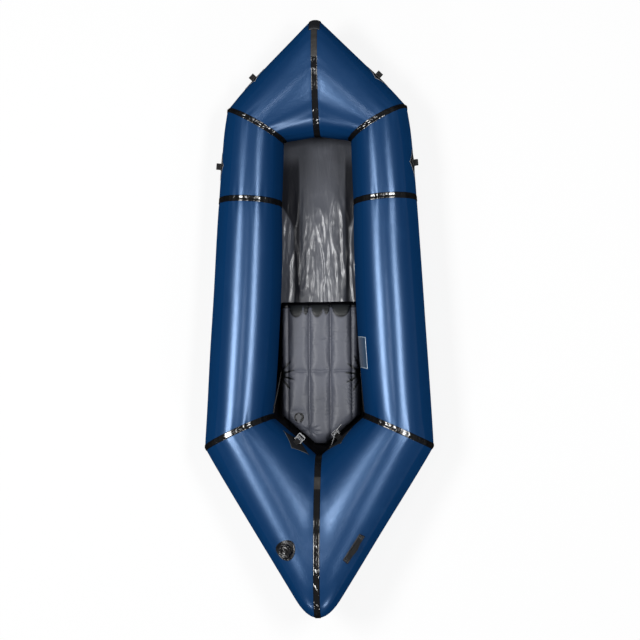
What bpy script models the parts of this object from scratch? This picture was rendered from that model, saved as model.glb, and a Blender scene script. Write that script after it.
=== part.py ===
# Open single-seat packraft. Metres, +Y towards the bow, +X to starboard, +Z up, resting on its floor.
import math
from collections import namedtuple

import bmesh
import bpy
from mathutils import Matrix, Vector

# Clearances
GAP = 0.0003
PATCH_GAP = 0.0008
SEWN_GAP = 0.0009
OVERRUN = 0.01

# Air tube, as ribs between its panels: (out from the centreline, forward of midships)
BOW_TIP = (0.0, 1.212)
BOW_VERTEX = (0.0, 0.7445)
BOW_SHOULDER_OUTER = (0.379, 0.8615)
BOW_SHOULDER_INNER = (0.139, 0.724)
SIDE_SEAM_OUTER = (0.4085, 0.4765)
SIDE_SEAM_INNER = (0.1475, 0.4605)
STERN_SHOULDER_OUTER = (0.465, -0.5385)
STERN_SHOULDER_INNER = (0.187, -0.4125)
STERN_VERTEX = (0.0, -0.5675)
STERN_TIP = (0.0, -1.2135)
BOW_HALF_HEIGHT = 0.135
BOW_SHOULDER_HALF_HEIGHT = 0.132
SIDE_HALF_HEIGHT = 0.134
STERN_SHOULDER_HALF_HEIGHT = 0.1445
STERN_HALF_HEIGHT = 0.150
BOW_KICK = 0.080
STERN_KICK = 0.120
BOW_TIP_EASE = 0.034
STERN_TIP_EASE = 0.090
VERTEX_EASE = 0.020
SIDE_BELLY = 0.0115
FABRIC_WALL = 0.0012

# Seam tapes
SEAM_TAPE_WIDTH = 0.025
CENTRE_TAPE_WIDTH = 0.026
TAPE_THICKNESS = 0.0006
TIP_PATCH_WIDTH = 0.046
END_CROWDING = 1.5

# Floor
FLOOR_THICKNESS = 0.0012
FLOOR_OVERLAP = 0.030

# Seat pad
PAD_FRONT = 0.0575
PAD_FOLD = -0.2235
PAD_CROWN = 0.078
PAD_SEAM_HEIGHT = 0.052
PAD_RIM_HEIGHT = 0.026
PAD_ROLL_CROWN = 0.060
PAD_ROLL_WIDTH = 0.032
PAD_SIDE_ROOM = 0.003
PAD_CHANNELS = 3
PAD_ROW_CROWDING = 1.7
PAD_ROLL_COLUMN_SHARES = (0.0, 0.3, 0.65)
PAD_FRONT_SLOPE = 0.057
PAD_END_SLOPE = 0.045
PAD_END_ROOM = 0.038
PAD_BLUNT_END = 0.020
PAD_CREASE = 0.007
PAD_FOLD_CLEARANCE = 0.003
BACKREST_LIFT = math.radians(65)

# Side straps and their tabs
STRAP_WIDTH = 0.025
STRAP_THICKNESS = 0.0016
STRAP_END_ROOM = 0.018
STRAP_SEWN = 0.030
STRAP_SAG = 0.006
TAB_LENGTH = 0.030
TAB_THICKNESS = 0.0012
TAB_LOW = 0.010
TAB_HIGH = 0.038

# Tie-down patches and loops
PATCH_THICKNESS = 0.001
TIE_PATCH_LENGTH = 0.120
TIE_PATCH_WIDTH = 0.084
TIE_ANGLE = math.radians(13)
PATCH_HOLLOW = 0.82
PATCH_RING_SHARES = (0.06, 0.4, 0.72, 1.0)
BOW_TIE_SHARE = 0.675
SIDE_TIE_SHARE = 0.63
LOOP_WIDTH = 0.025
LOOP_THICKNESS = 0.0016
LOOP_HEIGHT = 0.021
LOOP_RADIUS = 0.0045
LOOP_FOOT = 0.011

# Stern anchors and ladder-lock buckles
ANCHOR_PATCH_LENGTH = 0.150
ANCHOR_PATCH_WIDTH = 0.090
ANCHOR_SHARE = 0.45
ANCHOR_ANGLES = {"port": math.radians(157), "starboard": math.radians(169)}
ANCHOR_DROP = {"port": 0.0, "starboard": 0.018}
ANCHOR_STAND = {"port": 0.0135, "starboard": 0.020}
ANCHOR_LEAN = {"port": 0.0, "starboard": math.radians(-70)}
TAIL_START = -0.052
TAIL_END = 0.046
TAIL_LIFT = 0.040
BUCKLE_LENGTH = 0.036
BUCKLE_WIDTH = 0.032
BUCKLE_THICKNESS = 0.0044
BUCKLE_BAR = 0.0044
BUCKLE_CORNER = 0.003
BUCKLE_WAIST = 0.001
BUCKLE_RAIL = 0.0036
BUCKLE_SLOT = 0.0085
BUCKLE_GRIP_SLOT = 0.0065
BUCKLE_MID_BAR = 0.0042
BUCKLE_EDGE = 0.0006
BUCKLE_GRIP_RISE = 0.0022
TAB_CLEARANCE = 0.0004
TAB_SIDE_CLEARANCE = 0.0012
TAB_OPENING = math.radians(50)
TAB_NECK_SHARE = 1.6
ANCHOR_WEB_THICKNESS = 0.0012
ANCHOR_FOOT = 0.013

# Stern grab handle
HANDLE_SHARE = 0.35
HANDLE_ANGLE = math.radians(48)
HANDLE_LENGTH = 0.120
HANDLE_WIDTH = 0.020
HANDLE_THICKNESS = 0.0018
HANDLE_RISE = 0.011
HANDLE_SEWN = 0.022
HANDLE_PATCH_MARGIN = 0.003

# Main inflation valve, heights measured outwards from the fabric
VALVE_SHARE = 0.297
VALVE_ANGLE = math.radians(55.5)
VALVE_FLANGE_RADIUS = 0.040
VALVE_FLANGE_THICKNESS = 0.002
VALVE_FLANGE_ROOM = 0.0015
VALVE_COLLAR_RADIUS = 0.027
VALVE_COLLAR_HEIGHT = 0.009
VALVE_COLLAR_LIP = 0.003
VALVE_BARREL_RADIUS = 0.020
VALVE_BARREL_DEPTH = 0.034
VALVE_BORE_RADIUS = 0.016
VALVE_SEAT_RADIUS = 0.0115
VALVE_SEAT_DEPTH = 0.020
VALVE_SEAT_THICKNESS = 0.002
VALVE_NUT_RADIUS = 0.027
VALVE_NUT_THICKNESS = 0.005
VALVE_NUT_DEPTH = 0.0068
VALVE_STEM_RADIUS = 0.003
VALVE_BOSS_RADIUS = 0.0048
VALVE_BUTTON_RADIUS = 0.007
VALVE_BUTTON_THICKNESS = 0.003
VALVE_BUTTON_DEPTH = 0.001
VALVE_DISC_RADIUS = 0.0145
VALVE_DISC_THICKNESS = 0.002
VALVE_SEAL_THICKNESS = 0.0016
VALVE_SEAL_REACH = 0.0032
VALVE_SPIDER_WIDTH = 0.005
VALVE_SPIDER_THICKNESS = 0.002
VALVE_SPRING_WIRE = 0.0008
VALVE_SPRING_TURNS = 4
VALVE_CAP_RADIUS = 0.0265
VALVE_CAP_THICKNESS = 0.007
VALVE_CAP_LOBE = 0.0028
VALVE_CAP_LOBES = 8
VALVE_CAP_DISH = 0.002
VALVE_CAP_DISH_SLOPE = 0.0017
VALVE_PLUG_DEPTH = 0.007
VALVE_PLUG_WALL = 0.002
VALVE_PLUG_CLEARANCE = 0.001
VALVE_RUNNING = 0.0004

# Seat valve
SEAT_VALVE_X = -0.087
SEAT_VALVE_Y = -0.4135
SEAT_FLANGE_RADIUS = 0.0205
SEAT_FLANGE_THICKNESS = 0.003
SEAT_NIPPLE_RADIUS = 0.009
SEAT_NIPPLE_BORE = 0.0065
SEAT_NIPPLE_HEIGHT = 0.008
SEAT_CAP_RADIUS = 0.0125
SEAT_CAP_THICKNESS = 0.0028
SEAT_CAP_TAB = 0.011
SEAT_CAP_PLUG = 0.005
SEAT_PLUG_TAPER = 0.0012
SEAT_HINGE_RADIUS = 0.0022
SEAT_HINGE_WIDTH = 0.011
SEAT_EAR_WIDTH = 0.003

# Divisions of the meshes
TUBE_SIDES = 28
PATCH_SIDES = 16
TURNED_SIDES = 24
TIP_PATCH_COLUMNS = 3
BELLY_STEPS = 8
SMOOTH_ANGLE = math.radians(40)

REST_HEIGHT = FLOOR_THICKNESS + GAP + TAPE_THICKNESS + GAP
ROUND_ANGLES = [math.tau * step / TUBE_SIDES for step in range(TUBE_SIDES)]

COLOURS = {
    "tube_fabric": ((0.012, 0.035, 0.095), 0.32, 0.0),
    "seam_tape": ((0.012, 0.012, 0.013), 0.12, 0.0),
    "floor_fabric": ((0.085, 0.088, 0.100), 0.25, 0.0),
    "seat_fabric": ((0.115, 0.120, 0.135), 0.38, 0.0),
    "patch_fabric": ((0.030, 0.032, 0.036), 0.40, 0.0),
    "webbing": ((0.010, 0.010, 0.011), 0.75, 0.0),
    "valve_plastic": ((0.014, 0.014, 0.016), 0.22, 0.0),
    "buckle_plastic": ((0.030, 0.030, 0.033), 0.30, 0.0),
    "seal_rubber": ((0.020, 0.020, 0.020), 0.60, 0.0),
    "spring_steel": ((0.560, 0.560, 0.580), 0.25, 1.0),
}

Rib = namedtuple("Rib", "inner outer half_height kick centre")
Panel = namedtuple("Panel", "near far side is_end tip_ease belly")
Spot = namedtuple("Spot", "panel share angle run girth shear")


def clear_scene():
    for item in list(bpy.data.objects):
        bpy.data.objects.remove(item, do_unlink=True)


def make_materials():
    made = {}
    for name, (colour, roughness, metallic) in COLOURS.items():
        material = bpy.data.materials.new(name)
        material.use_nodes = True
        shader = material.node_tree.nodes["Principled BSDF"]
        shader.inputs["Base Color"].default_value = (*colour, 1.0)
        shader.inputs["Roughness"].default_value = roughness
        shader.inputs["Metallic"].default_value = metallic
        made[name] = material
    return made


def add_object(name, mesh, material, frame=None):
    item = bpy.data.objects.new(name, mesh)
    item.data.materials.append(MATERIALS[material])
    bpy.context.scene.collection.objects.link(item)
    if frame is not None:
        item.matrix_world = frame
    return item


def finish_mesh(bm, name):
    bmesh.ops.recalc_face_normals(bm, faces=bm.faces)
    mesh = bpy.data.meshes.new(name)
    bm.to_mesh(mesh)
    bm.free()
    mesh.shade_smooth()
    mesh.set_sharp_from_angle(angle=SMOOTH_ANGLE)
    return mesh


# A closed body through loops of equal length. Its ends are filled, unless the loops run round to the first.
def skin(name, loops, material, round_trip=False, frame=None):
    bm = bmesh.new()
    rings = [[bm.verts.new(point) for point in loop] for loop in loops]
    count = len(rings[0])
    pairs = list(zip(rings, rings[1:]))
    if round_trip:
        pairs.append((rings[-1], rings[0]))
    else:
        bm.faces.new(rings[0])
        bm.faces.new(rings[-1])
    for first, second in pairs:
        for here in range(count):
            after = (here + 1) % count
            bm.faces.new((first[here], first[after], second[after], second[here]))
    return add_object(name, finish_mesh(bm, name), material, frame)


# A closed body under a grid of points: the grid on top, a flat floor below it.
def grid_over_floor(name, rows, floor_height, material):
    bm = bmesh.new()
    top = [[bm.verts.new(point) for point in row] for row in rows]
    for first, second in zip(top, top[1:]):
        for here in range(len(first) - 1):
            bm.faces.new((first[here], first[here + 1], second[here + 1], second[here]))
    edge = top[0] + [row[-1] for row in top[1:]] + top[-1][-2::-1] + [row[0] for row in top[-2:0:-1]]
    base = [bm.verts.new((vert.co.x, vert.co.y, floor_height)) for vert in edge]
    for here in range(len(edge)):
        after = (here + 1) % len(edge)
        bm.faces.new((edge[here], edge[after], base[after], base[here]))
    bm.faces.new(base)
    return add_object(name, finish_mesh(bm, name), material)


def cut(item, cutter, operation="DIFFERENCE"):
    cutter.hide_render = True
    cutter.display_type = "WIRE"
    boolean = item.modifiers.new(operation.lower(), "BOOLEAN")
    boolean.operation = operation
    boolean.solver = "EXACT"
    boolean.object = cutter


def join(item, piece):
    cut(item, piece, "UNION")


def bevelled(item, width):
    bevel = item.modifiers.new("soft_edges", "BEVEL")
    bevel.width = width
    bevel.segments = 1
    bevel.limit_method = "ANGLE"
    return item


def circle(radius, height, sides=TURNED_SIDES):
    turns = [math.tau * step / sides for step in range(sides)]
    return [Vector((radius * math.cos(turn), radius * math.sin(turn), height)) for turn in turns]


# A turned solid: (radius, height) from one end to the other, or round a bore and back.
def turned(name, profile, material, frame, round_trip=False):
    return skin(name, [circle(*step) for step in profile], material, round_trip, frame)


# The ribs: sections of the tube that stand between two panels
def rib_offset(inner, outer, half_height, kick, angle):
    along = math.cos(angle)
    reach = (Vector(outer) - Vector(inner)) / 2
    rise = half_height * math.sin(angle) + kick * ((1 + along) / 2) ** 2
    return Vector((reach.x * along, reach.y * along, rise))


def make_rib(inner, outer, half_height, kick=0.0):
    middle = (Vector(outer) + Vector(inner)) / 2
    lowest = min(rib_offset(inner, outer, half_height, kick, turn).z for turn in ROUND_ANGLES)
    centre = Vector((middle.x, middle.y, REST_HEIGHT - lowest))
    return Rib(inner, outer, half_height, kick, centre)


def rib_point(rib, angle, grow):
    offset = rib_offset(rib.inner, rib.outer, rib.half_height, rib.kick, angle)
    return rib.centre + offset * (1 + grow / rib.half_height)


BOW_RIB = make_rib(BOW_VERTEX, BOW_TIP, BOW_HALF_HEIGHT, BOW_KICK)
BOW_SHOULDER_RIB = make_rib(BOW_SHOULDER_INNER, BOW_SHOULDER_OUTER, BOW_SHOULDER_HALF_HEIGHT)
SIDE_RIB = make_rib(SIDE_SEAM_INNER, SIDE_SEAM_OUTER, SIDE_HALF_HEIGHT)
STERN_SHOULDER_RIB = make_rib(STERN_SHOULDER_INNER, STERN_SHOULDER_OUTER, STERN_SHOULDER_HALF_HEIGHT)
STERN_RIB = make_rib(STERN_VERTEX, STERN_TIP, STERN_HALF_HEIGHT, STERN_KICK)


# A point on a panel: share runs from the near rib to the far one, angle from outside over the top to inside
def hull_point(panel, share, angle, grow=0.0):
    near = rib_point(panel.near, angle, grow)
    far = rib_point(panel.far, angle, grow)
    if not panel.is_end:
        point = near.lerp(far, share)
        swell = panel.belly * 4 * share * (1 - share) * (1 - math.cos(angle)) / 2
        return Vector((panel.side * (point.x - swell), point.y, point.z))
    outwards = (1 + math.cos(angle)) / 2
    ease = VERTEX_EASE + (panel.tip_ease - VERTEX_EASE) * outwards
    fold = ease / 2 / far.x
    sharp = (near - far * fold) / (1 - fold)
    out = share * far.x
    blunt = out if out >= ease else out * out / (2 * ease) + ease / 2
    point = sharp.lerp(far, blunt / far.x)
    return Vector((panel.side * out, point.y, point.z))


def rib_run(panel, angle):
    return (rib_point(panel.far, angle, 0.0) - rib_point(panel.near, angle, 0.0)).length


def shares_along(panel, angle):
    run = rib_run(panel, angle)
    last = [1 - SEAM_TAPE_WIDTH / 2 / run, 1 - GAP / 2 / run]
    if not panel.is_end:
        first = [GAP / 2 / run, SEAM_TAPE_WIDTH / 2 / run]
        between = BELLY_STEPS if panel.belly else 1
        return first + [first[1] + (last[0] - first[1]) * step / between for step in range(1, between)] + last
    out = rib_point(panel.far, angle, 0.0).x
    first = [GAP / 2 / out, CENTRE_TAPE_WIDTH / 2 / out]
    steps = 5
    between = [(step / steps) ** END_CROWDING for step in range(1, steps)]
    return first + [first[1] + (last[0] - first[1]) * share for share in between] + last


def panel_loops(panel, grow):
    table = [shares_along(panel, angle) for angle in ROUND_ANGLES]
    loops = []
    for station in range(len(table[0])):
        pairs = zip(table, ROUND_ANGLES)
        loops.append([hull_point(panel, shares[station], angle, grow) for shares, angle in pairs])
    return loops


def add_panel(name, panel):
    outside = panel_loops(panel, 0.0)
    inside = panel_loops(panel, -FABRIC_WALL)
    return skin(name, outside + inside[::-1], "tube_fabric", round_trip=True)


# A tape round the joint of two panels, from its edge on one to its edge on the other
def tape_loops(first, first_at, second, second_at, width, grow):
    loops = []
    for panel, at in ((first, first_at), (second, second_at)):
        loop = []
        for angle in ROUND_ANGLES:
            if panel.is_end and at == 0:
                share = width / 2 / rib_point(panel.far, angle, 0.0).x
            else:
                share = abs(at - width / 2 / rib_run(panel, angle))
            loop.append(hull_point(panel, share, angle, grow))
        loops.append(loop)
    middle = [hull_point(first, first_at, angle, grow) for angle in ROUND_ANGLES]
    return [loops[0], middle, loops[1]]


def add_tape(name, first, first_at, second, second_at, width):
    joint = (first, first_at, second, second_at, width)
    inside = tape_loops(*joint, GAP)
    outside = tape_loops(*joint, GAP + TAPE_THICKNESS)
    return skin(name, inside + outside[::-1], "seam_tape", round_trip=True)


def add_tip_patch(name, port, starboard):
    turns = [math.tau * step / TUBE_SIDES for step in range(-TIP_PATCH_COLUMNS, TIP_PATCH_COLUMNS + 1)]
    lift = 2 * GAP + TAPE_THICKNESS
    loops = []
    for angle in turns:
        edge = TIP_PATCH_WIDTH / 2 / rib_point(port.far, angle, 0.0).x
        inner_edge = CENTRE_TAPE_WIDTH / 2 / rib_point(port.far, angle, 0.0).x
        across = [(port, edge), (port, inner_edge), (port, 0.0), (starboard, inner_edge), (starboard, edge)]
        low = [hull_point(panel, share, angle, lift) for panel, share in across]
        high = [hull_point(panel, share, angle, lift + PATCH_THICKNESS) for panel, share in across]
        loops.append(low + high[::-1])
    return skin(name, loops, "patch_fabric")


# How a panel's surface moves with share and with angle, and its axes there: along, round and outwards
def surface_at(panel, share, angle):
    step = 0.001
    by_share = hull_point(panel, share + step, angle) - hull_point(panel, share - step, angle)
    by_angle = hull_point(panel, share, angle + step) - hull_point(panel, share, angle - step)
    out = by_share.cross(by_angle).normalized()
    if out.dot(hull_point(panel, share, angle, FABRIC_WALL) - hull_point(panel, share, angle)) < 0:
        out = -out
    around = by_angle - by_share * (by_angle.dot(by_share) / by_share.length_squared)
    around.normalize()
    axes = (around.cross(out), around, out)
    return by_share / (2 * step), by_angle / (2 * step), axes


def make_spot(panel, share, angle):
    by_share, by_angle, (along, around, _) = surface_at(panel, share, angle)
    return Spot(panel, share, angle, by_share.dot(along), by_angle.dot(around), by_angle.dot(along))


# A point on the hull, at lengths along it, round it and outwards from a spot
def draped(spot, along, around, lift):
    turn = around / spot.girth
    share = spot.share + (along - spot.shear * turn) / spot.run
    angle = spot.angle + turn
    return hull_point(spot.panel, share, angle) + surface_at(spot.panel, share, angle)[2][2] * lift


# A frame whose z leaves the hull and whose x runs along the panel
def spot_frame(spot, lift):
    turn = Matrix(surface_at(spot.panel, spot.share, spot.angle)[2]).transposed().to_4x4()
    return Matrix.Translation(draped(spot, 0.0, 0.0, lift)) @ turn


# A diamond patch with drawn-in edges
def diamond(length, width):
    outline = []
    for step in range(PATCH_SIDES):
        turn = math.tau * step / PATCH_SIDES
        side = math.cos(turn)
        rise = math.sin(turn)
        spread = (abs(side) ** PATCH_HOLLOW + abs(rise) ** PATCH_HOLLOW) ** (-1 / PATCH_HOLLOW)
        outline.append((length / 2 * side * spread, width / 2 * rise * spread))
    return outline


def oblong(length, width, corner):
    outline = []
    for quarter in range(4):
        for step in range(4):
            turn = math.radians(90 * quarter + 30 * step)
            centre_along = (length / 2 - corner) * (1 if quarter in (0, 3) else -1)
            centre_around = (width / 2 - corner) * (1 if quarter < 2 else -1)
            outline.append((centre_along + corner * math.cos(turn), centre_around + corner * math.sin(turn)))
    return outline


def add_patch(name, spot, outline):
    loops = []
    low = (PATCH_GAP, PATCH_RING_SHARES)
    high = (PATCH_GAP + PATCH_THICKNESS, PATCH_RING_SHARES[::-1])
    for lift, shares in (low, high):
        for share in shares:
            loops.append([draped(spot, along * share, around * share, lift) for along, around in outline])
    return skin(name, loops, "patch_fabric")


# A flat band along a path of (around, lift), as wide as stated along the panel
def add_band(name, spot, path, width, thickness, crosswise=False):
    loops = []
    for here, (place, lift) in enumerate(path):
        before = Vector(path[max(here - 1, 0)])
        after = Vector(path[min(here + 1, len(path) - 1)])
        aim = (after - before).normalized()
        side = Vector((-aim.y, aim.x)) * thickness / 2
        corners = []
        for edge, face in ((-1, -1), (1, -1), (1, 1), (-1, 1)):
            at = place + face * side.x
            high = lift + face * side.y
            if crosswise:
                corners.append(draped(spot, at, edge * width / 2, high))
            else:
                corners.append(draped(spot, edge * width / 2, at, high))
        loops.append(corners)
    return skin(name, loops, "webbing")


def loop_path(radius, height, foot, floor):
    path = [(-radius - foot, floor), (-radius - foot / 2, floor), (-radius - foot / 8, floor + foot / 12)]
    path += [(-radius, floor + foot / 3), (-radius, (floor + height - radius) / 2 + foot / 6)]
    steps = 6
    for step in range(steps + 1):
        turn = math.pi * (1 - step / steps)
        path.append((radius * math.cos(turn), height - radius + radius * math.sin(turn)))
    return path + [(-place, lift) for place, lift in path[4::-1]]


def add_tie_down(name, spot):
    add_patch(name + "_patch", spot, diamond(TIE_PATCH_LENGTH, TIE_PATCH_WIDTH))
    floor = PATCH_GAP + PATCH_THICKNESS + GAP + LOOP_THICKNESS / 2
    path = loop_path(LOOP_RADIUS, LOOP_HEIGHT, LOOP_FOOT, floor)
    add_band(name + "_loop", spot, path, LOOP_WIDTH, LOOP_THICKNESS)


# The ladder-lock buckle lies in its frame's XY plane, its hinge bar on X and its grip towards +Y
def add_buckle(name, frame):
    rear = -BUCKLE_BAR / 2
    front = rear + BUCKLE_LENGTH
    half = BUCKLE_WIDTH / 2
    deck = BUCKLE_THICKNESS / 2
    corner = BUCKLE_CORNER
    rise = BUCKLE_GRIP_RISE
    grip_start = BUCKLE_BAR / 2 + BUCKLE_SLOT + BUCKLE_MID_BAR + BUCKLE_GRIP_SLOT
    waist = half - BUCKLE_WAIST
    sections = [
        (rear, half - corner, 0.0),
        (rear + corner / 2, half, 0.0),
        (BUCKLE_BAR / 2 + BUCKLE_SLOT, waist, 0.0),
        (grip_start, half, rise / 3),
        (front - corner / 2, half - corner / 4, rise),
        (front, half - corner, rise),
    ]
    loops = []
    for place, reach, lift in sections:
        flat = [(-reach, -deck), (reach, -deck), (reach, deck), (-reach, deck)]
        loops.append([Vector((x, place, z + lift)) for x, z in flat])
    body = bevelled(skin(name, loops, "buckle_plastic", frame=frame), BUCKLE_EDGE)
    slot_half = half - BUCKLE_RAIL
    mid_bar = BUCKLE_BAR / 2 + BUCKLE_SLOT
    slots = {"rear_slot": (BUCKLE_BAR / 2, mid_bar), "grip_slot": (mid_bar + BUCKLE_MID_BAR, grip_start)}
    for slot, (start, end) in slots.items():
        tool = []
        for height in (-deck - OVERRUN, deck + OVERRUN):
            flat = [(-slot_half, start), (slot_half, start), (slot_half, end), (-slot_half, end)]
            tool.append([Vector((x, y, height)) for x, y in flat])
        cut(body, skin(name + "_" + slot, tool, "buckle_plastic", frame=frame))
    body.modifiers.move(0, len(body.modifiers) - 1)
    return body


def add_anchor(side, patch_spot):
    add_patch("anchor_patch_" + side, patch_spot, diamond(ANCHOR_PATCH_LENGTH, ANCHOR_PATCH_WIDTH))
    lower = patch_spot.angle + ANCHOR_DROP[side] / patch_spot.girth
    spot = make_spot(patch_spot.panel, patch_spot.share, lower)
    stand = ANCHOR_STAND[side]
    floor = PATCH_GAP + PATCH_THICKNESS + GAP + ANCHOR_WEB_THICKNESS / 2
    ring = math.hypot(BUCKLE_BAR, BUCKLE_THICKNESS) / 2 + TAB_CLEARANCE + ANCHOR_WEB_THICKNESS / 2
    neck = ANCHOR_WEB_THICKNESS / 2 + GAP
    path = [(-ANCHOR_FOOT, floor), (-ANCHOR_FOOT / 2, floor), (-neck - ring / 2, floor)]
    path += [(-neck, floor + ring / 2), (-neck, stand - TAB_NECK_SHARE * ring)]
    steps = 9
    for step in range(steps + 1):
        turn = -math.pi / 2 - TAB_OPENING - (math.tau - 2 * TAB_OPENING) * step / steps
        path.append((ring * math.cos(turn), stand + ring * math.sin(turn)))
    path += [(-place, lift) for place, lift in path[4::-1]]
    width = BUCKLE_WIDTH - 2 * (BUCKLE_RAIL + TAB_SIDE_CLEARANCE)
    add_band("anchor_webbing_" + side, spot, path, width, ANCHOR_WEB_THICKNESS)
    frame = spot_frame(spot, stand)
    lean = Matrix.Rotation(math.pi / 2 + ANCHOR_LEAN[side], 4, "X")
    return add_buckle("ladder_lock_" + side, frame @ lean)


# A stiff strap tail that leaves the anchor patch above its buckle
def add_tail(spot):
    floor = PATCH_GAP + PATCH_THICKNESS + SEWN_GAP + ANCHOR_WEB_THICKNESS / 2
    path = [(TAIL_START, floor), (TAIL_START + LOOP_FOOT, floor)]
    steps = 6
    for step in range(1, steps + 1):
        share = step / steps
        place = path[1][0] + (TAIL_END - path[1][0]) * share
        path.append((place, floor + (TAIL_LIFT - floor) * math.sin(math.pi / 2 * share)))
    add_band("anchor_tail", spot, path, HANDLE_WIDTH, ANCHOR_WEB_THICKNESS, crosswise=True)


def add_handle(spot):
    flat = HANDLE_LENGTH + 2 * HANDLE_PATCH_MARGIN
    outline = oblong(flat, HANDLE_WIDTH + 2 * HANDLE_PATCH_MARGIN, HANDLE_PATCH_MARGIN)
    add_patch("handle_patch", spot, outline)
    floor = PATCH_GAP + PATCH_THICKNESS + SEWN_GAP + HANDLE_THICKNESS / 2
    span = HANDLE_LENGTH / 2 - HANDLE_SEWN
    path = [(-HANDLE_LENGTH / 2, floor), (-span - HANDLE_SEWN / 3, floor)]
    steps = 10
    for step in range(steps + 1):
        place = -span + 2 * span * step / steps
        path.append((place, floor + HANDLE_RISE * (0.5 + 0.5 * math.cos(math.pi * place / span))))
    path += [(span + HANDLE_SEWN / 3, floor), (HANDLE_LENGTH / 2, floor)]
    return add_band("grab_handle", spot, path, HANDLE_WIDTH, HANDLE_THICKNESS, crosswise=True)


def add_valve_flange(spot, inside, low, high):
    flange = []
    shares_out = (0.0, 0.5, 1.0)
    for lift, shares in ((low, shares_out), (high, shares_out[::-1])):
        for share in shares:
            radius = inside + (VALVE_FLANGE_RADIUS - inside) * share
            flange.append([draped(spot, point.x, point.y, lift) for point in circle(radius, 0.0)])
    skin("main_valve_flange", flange, "valve_plastic", round_trip=True)


def add_valve_body(frame, base, top):
    barrel_end = -VALVE_BARREL_DEPTH
    seat_top = -VALVE_SEAT_DEPTH
    seat_low = seat_top - VALVE_SEAT_THICKNESS
    profile = [
        (VALVE_BARREL_RADIUS, barrel_end), (VALVE_BARREL_RADIUS, base), (VALVE_COLLAR_RADIUS, base),
        (VALVE_COLLAR_RADIUS, base + VALVE_COLLAR_LIP), (VALVE_COLLAR_RADIUS - VALVE_COLLAR_LIP, top),
        (VALVE_BORE_RADIUS, top), (VALVE_BORE_RADIUS, seat_top), (VALVE_SEAT_RADIUS, seat_top),
        (VALVE_SEAT_RADIUS, seat_low), (VALVE_BORE_RADIUS, seat_low), (VALVE_BORE_RADIUS, barrel_end),
    ]
    body = turned("main_valve_body", profile, "valve_plastic", frame, round_trip=True)

    # The spider is a cross over the seat that guides the stem and carries the spring
    spider_top = seat_top + VALVE_SPIDER_THICKNESS
    guide = VALVE_STEM_RADIUS + VALVE_RUNNING
    half = VALVE_SPIDER_WIDTH / 2
    reach = (VALVE_BORE_RADIUS + VALVE_BARREL_RADIUS) / 2
    for turn in (0.0, math.pi / 2):
        bar = []
        for height in (seat_low + GAP, spider_top):
            flat = [(-reach, -half), (reach, -half), (reach, half), (-reach, half)]
            bar.append([Vector((x, y, height)) for x, y in flat])
        join(body, skin("spider_arm", bar, "valve_plastic", frame=frame @ Matrix.Rotation(turn, 4, "Z")))
    reach_down = [(guide, seat_low - OVERRUN), (guide, spider_top + OVERRUN)]
    cut(body, turned("stem_guide", reach_down, "valve_plastic", frame))


def add_valve_nut(frame, hole):
    nut_top = -VALVE_NUT_DEPTH
    nut_low = nut_top - VALVE_NUT_THICKNESS
    chamfer = VALVE_NUT_THICKNESS / 4
    nut = [
        (hole, nut_low), (hole, nut_top), (VALVE_NUT_RADIUS - chamfer, nut_top),
        (VALVE_NUT_RADIUS, nut_top - chamfer), (VALVE_NUT_RADIUS, nut_low),
    ]
    turned("main_valve_nut", nut, "valve_plastic", frame, round_trip=True)


# The plunger hangs in the guide, its button inside the bore and its sealed disc below the seat
def add_plunger(frame, button_top, button_low):
    seat_low = -VALVE_SEAT_DEPTH - VALVE_SEAT_THICKNESS
    disc_top = seat_low - VALVE_SEAL_THICKNESS - 2 * GAP
    disc_low = disc_top - VALVE_DISC_THICKNESS
    rod = VALVE_STEM_RADIUS
    plunger = [
        (rod, button_top), (VALVE_BUTTON_RADIUS - GAP, button_top), (VALVE_BUTTON_RADIUS, button_top - GAP),
        (VALVE_BUTTON_RADIUS, button_low), (rod, button_low), (rod, disc_top),
        (VALVE_DISC_RADIUS, disc_top), (VALVE_DISC_RADIUS, disc_low),
        (VALVE_BOSS_RADIUS, disc_low), (rod, disc_low - rod),
    ]
    turned("main_valve_plunger", plunger, "valve_plastic", frame)
    seal_top = seat_low - GAP
    seal_low = seal_top - VALVE_SEAL_THICKNESS
    seal_inner = VALVE_SEAT_RADIUS - VALVE_SEAL_REACH
    seal = [
        (seal_inner, seal_low), (VALVE_DISC_RADIUS, seal_low),
        (VALVE_DISC_RADIUS, seal_top), (seal_inner, seal_top),
    ]
    turned("main_valve_seal", seal, "seal_rubber", frame, round_trip=True)


def add_spring(frame, low, high):
    wire = VALVE_SPRING_WIRE / 2
    radius = VALVE_STEM_RADIUS + VALVE_RUNNING + 2 * wire
    sides = 6
    steps = VALVE_SPRING_TURNS * 10
    rise = high - low - 2 * wire
    loops = []
    for step in range(steps + 1):
        share = step / steps
        turn = math.tau * VALVE_SPRING_TURNS * share
        out = Vector((math.cos(turn), math.sin(turn), 0.0))
        centre = out * radius + Vector((0.0, 0.0, low + wire + rise * share))
        turns = [math.tau * side / sides for side in range(sides)]
        loops.append([centre + out * (wire * math.cos(t)) + Vector((0, 0, wire * math.sin(t))) for t in turns])
    return skin("main_valve_spring", loops, "spring_steel", frame=frame)


# A ring that dips inwards between the lobes of the cap's grip
def lobed_ring(radius, height, depth):
    ring = []
    sides = 4 * VALVE_CAP_LOBES
    for step in range(sides):
        turn = math.tau * step / sides
        out = radius - depth * (0.5 - 0.5 * math.cos(VALVE_CAP_LOBES * turn))
        ring.append(Vector((out * math.cos(turn), out * math.sin(turn), height)))
    return ring


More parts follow.
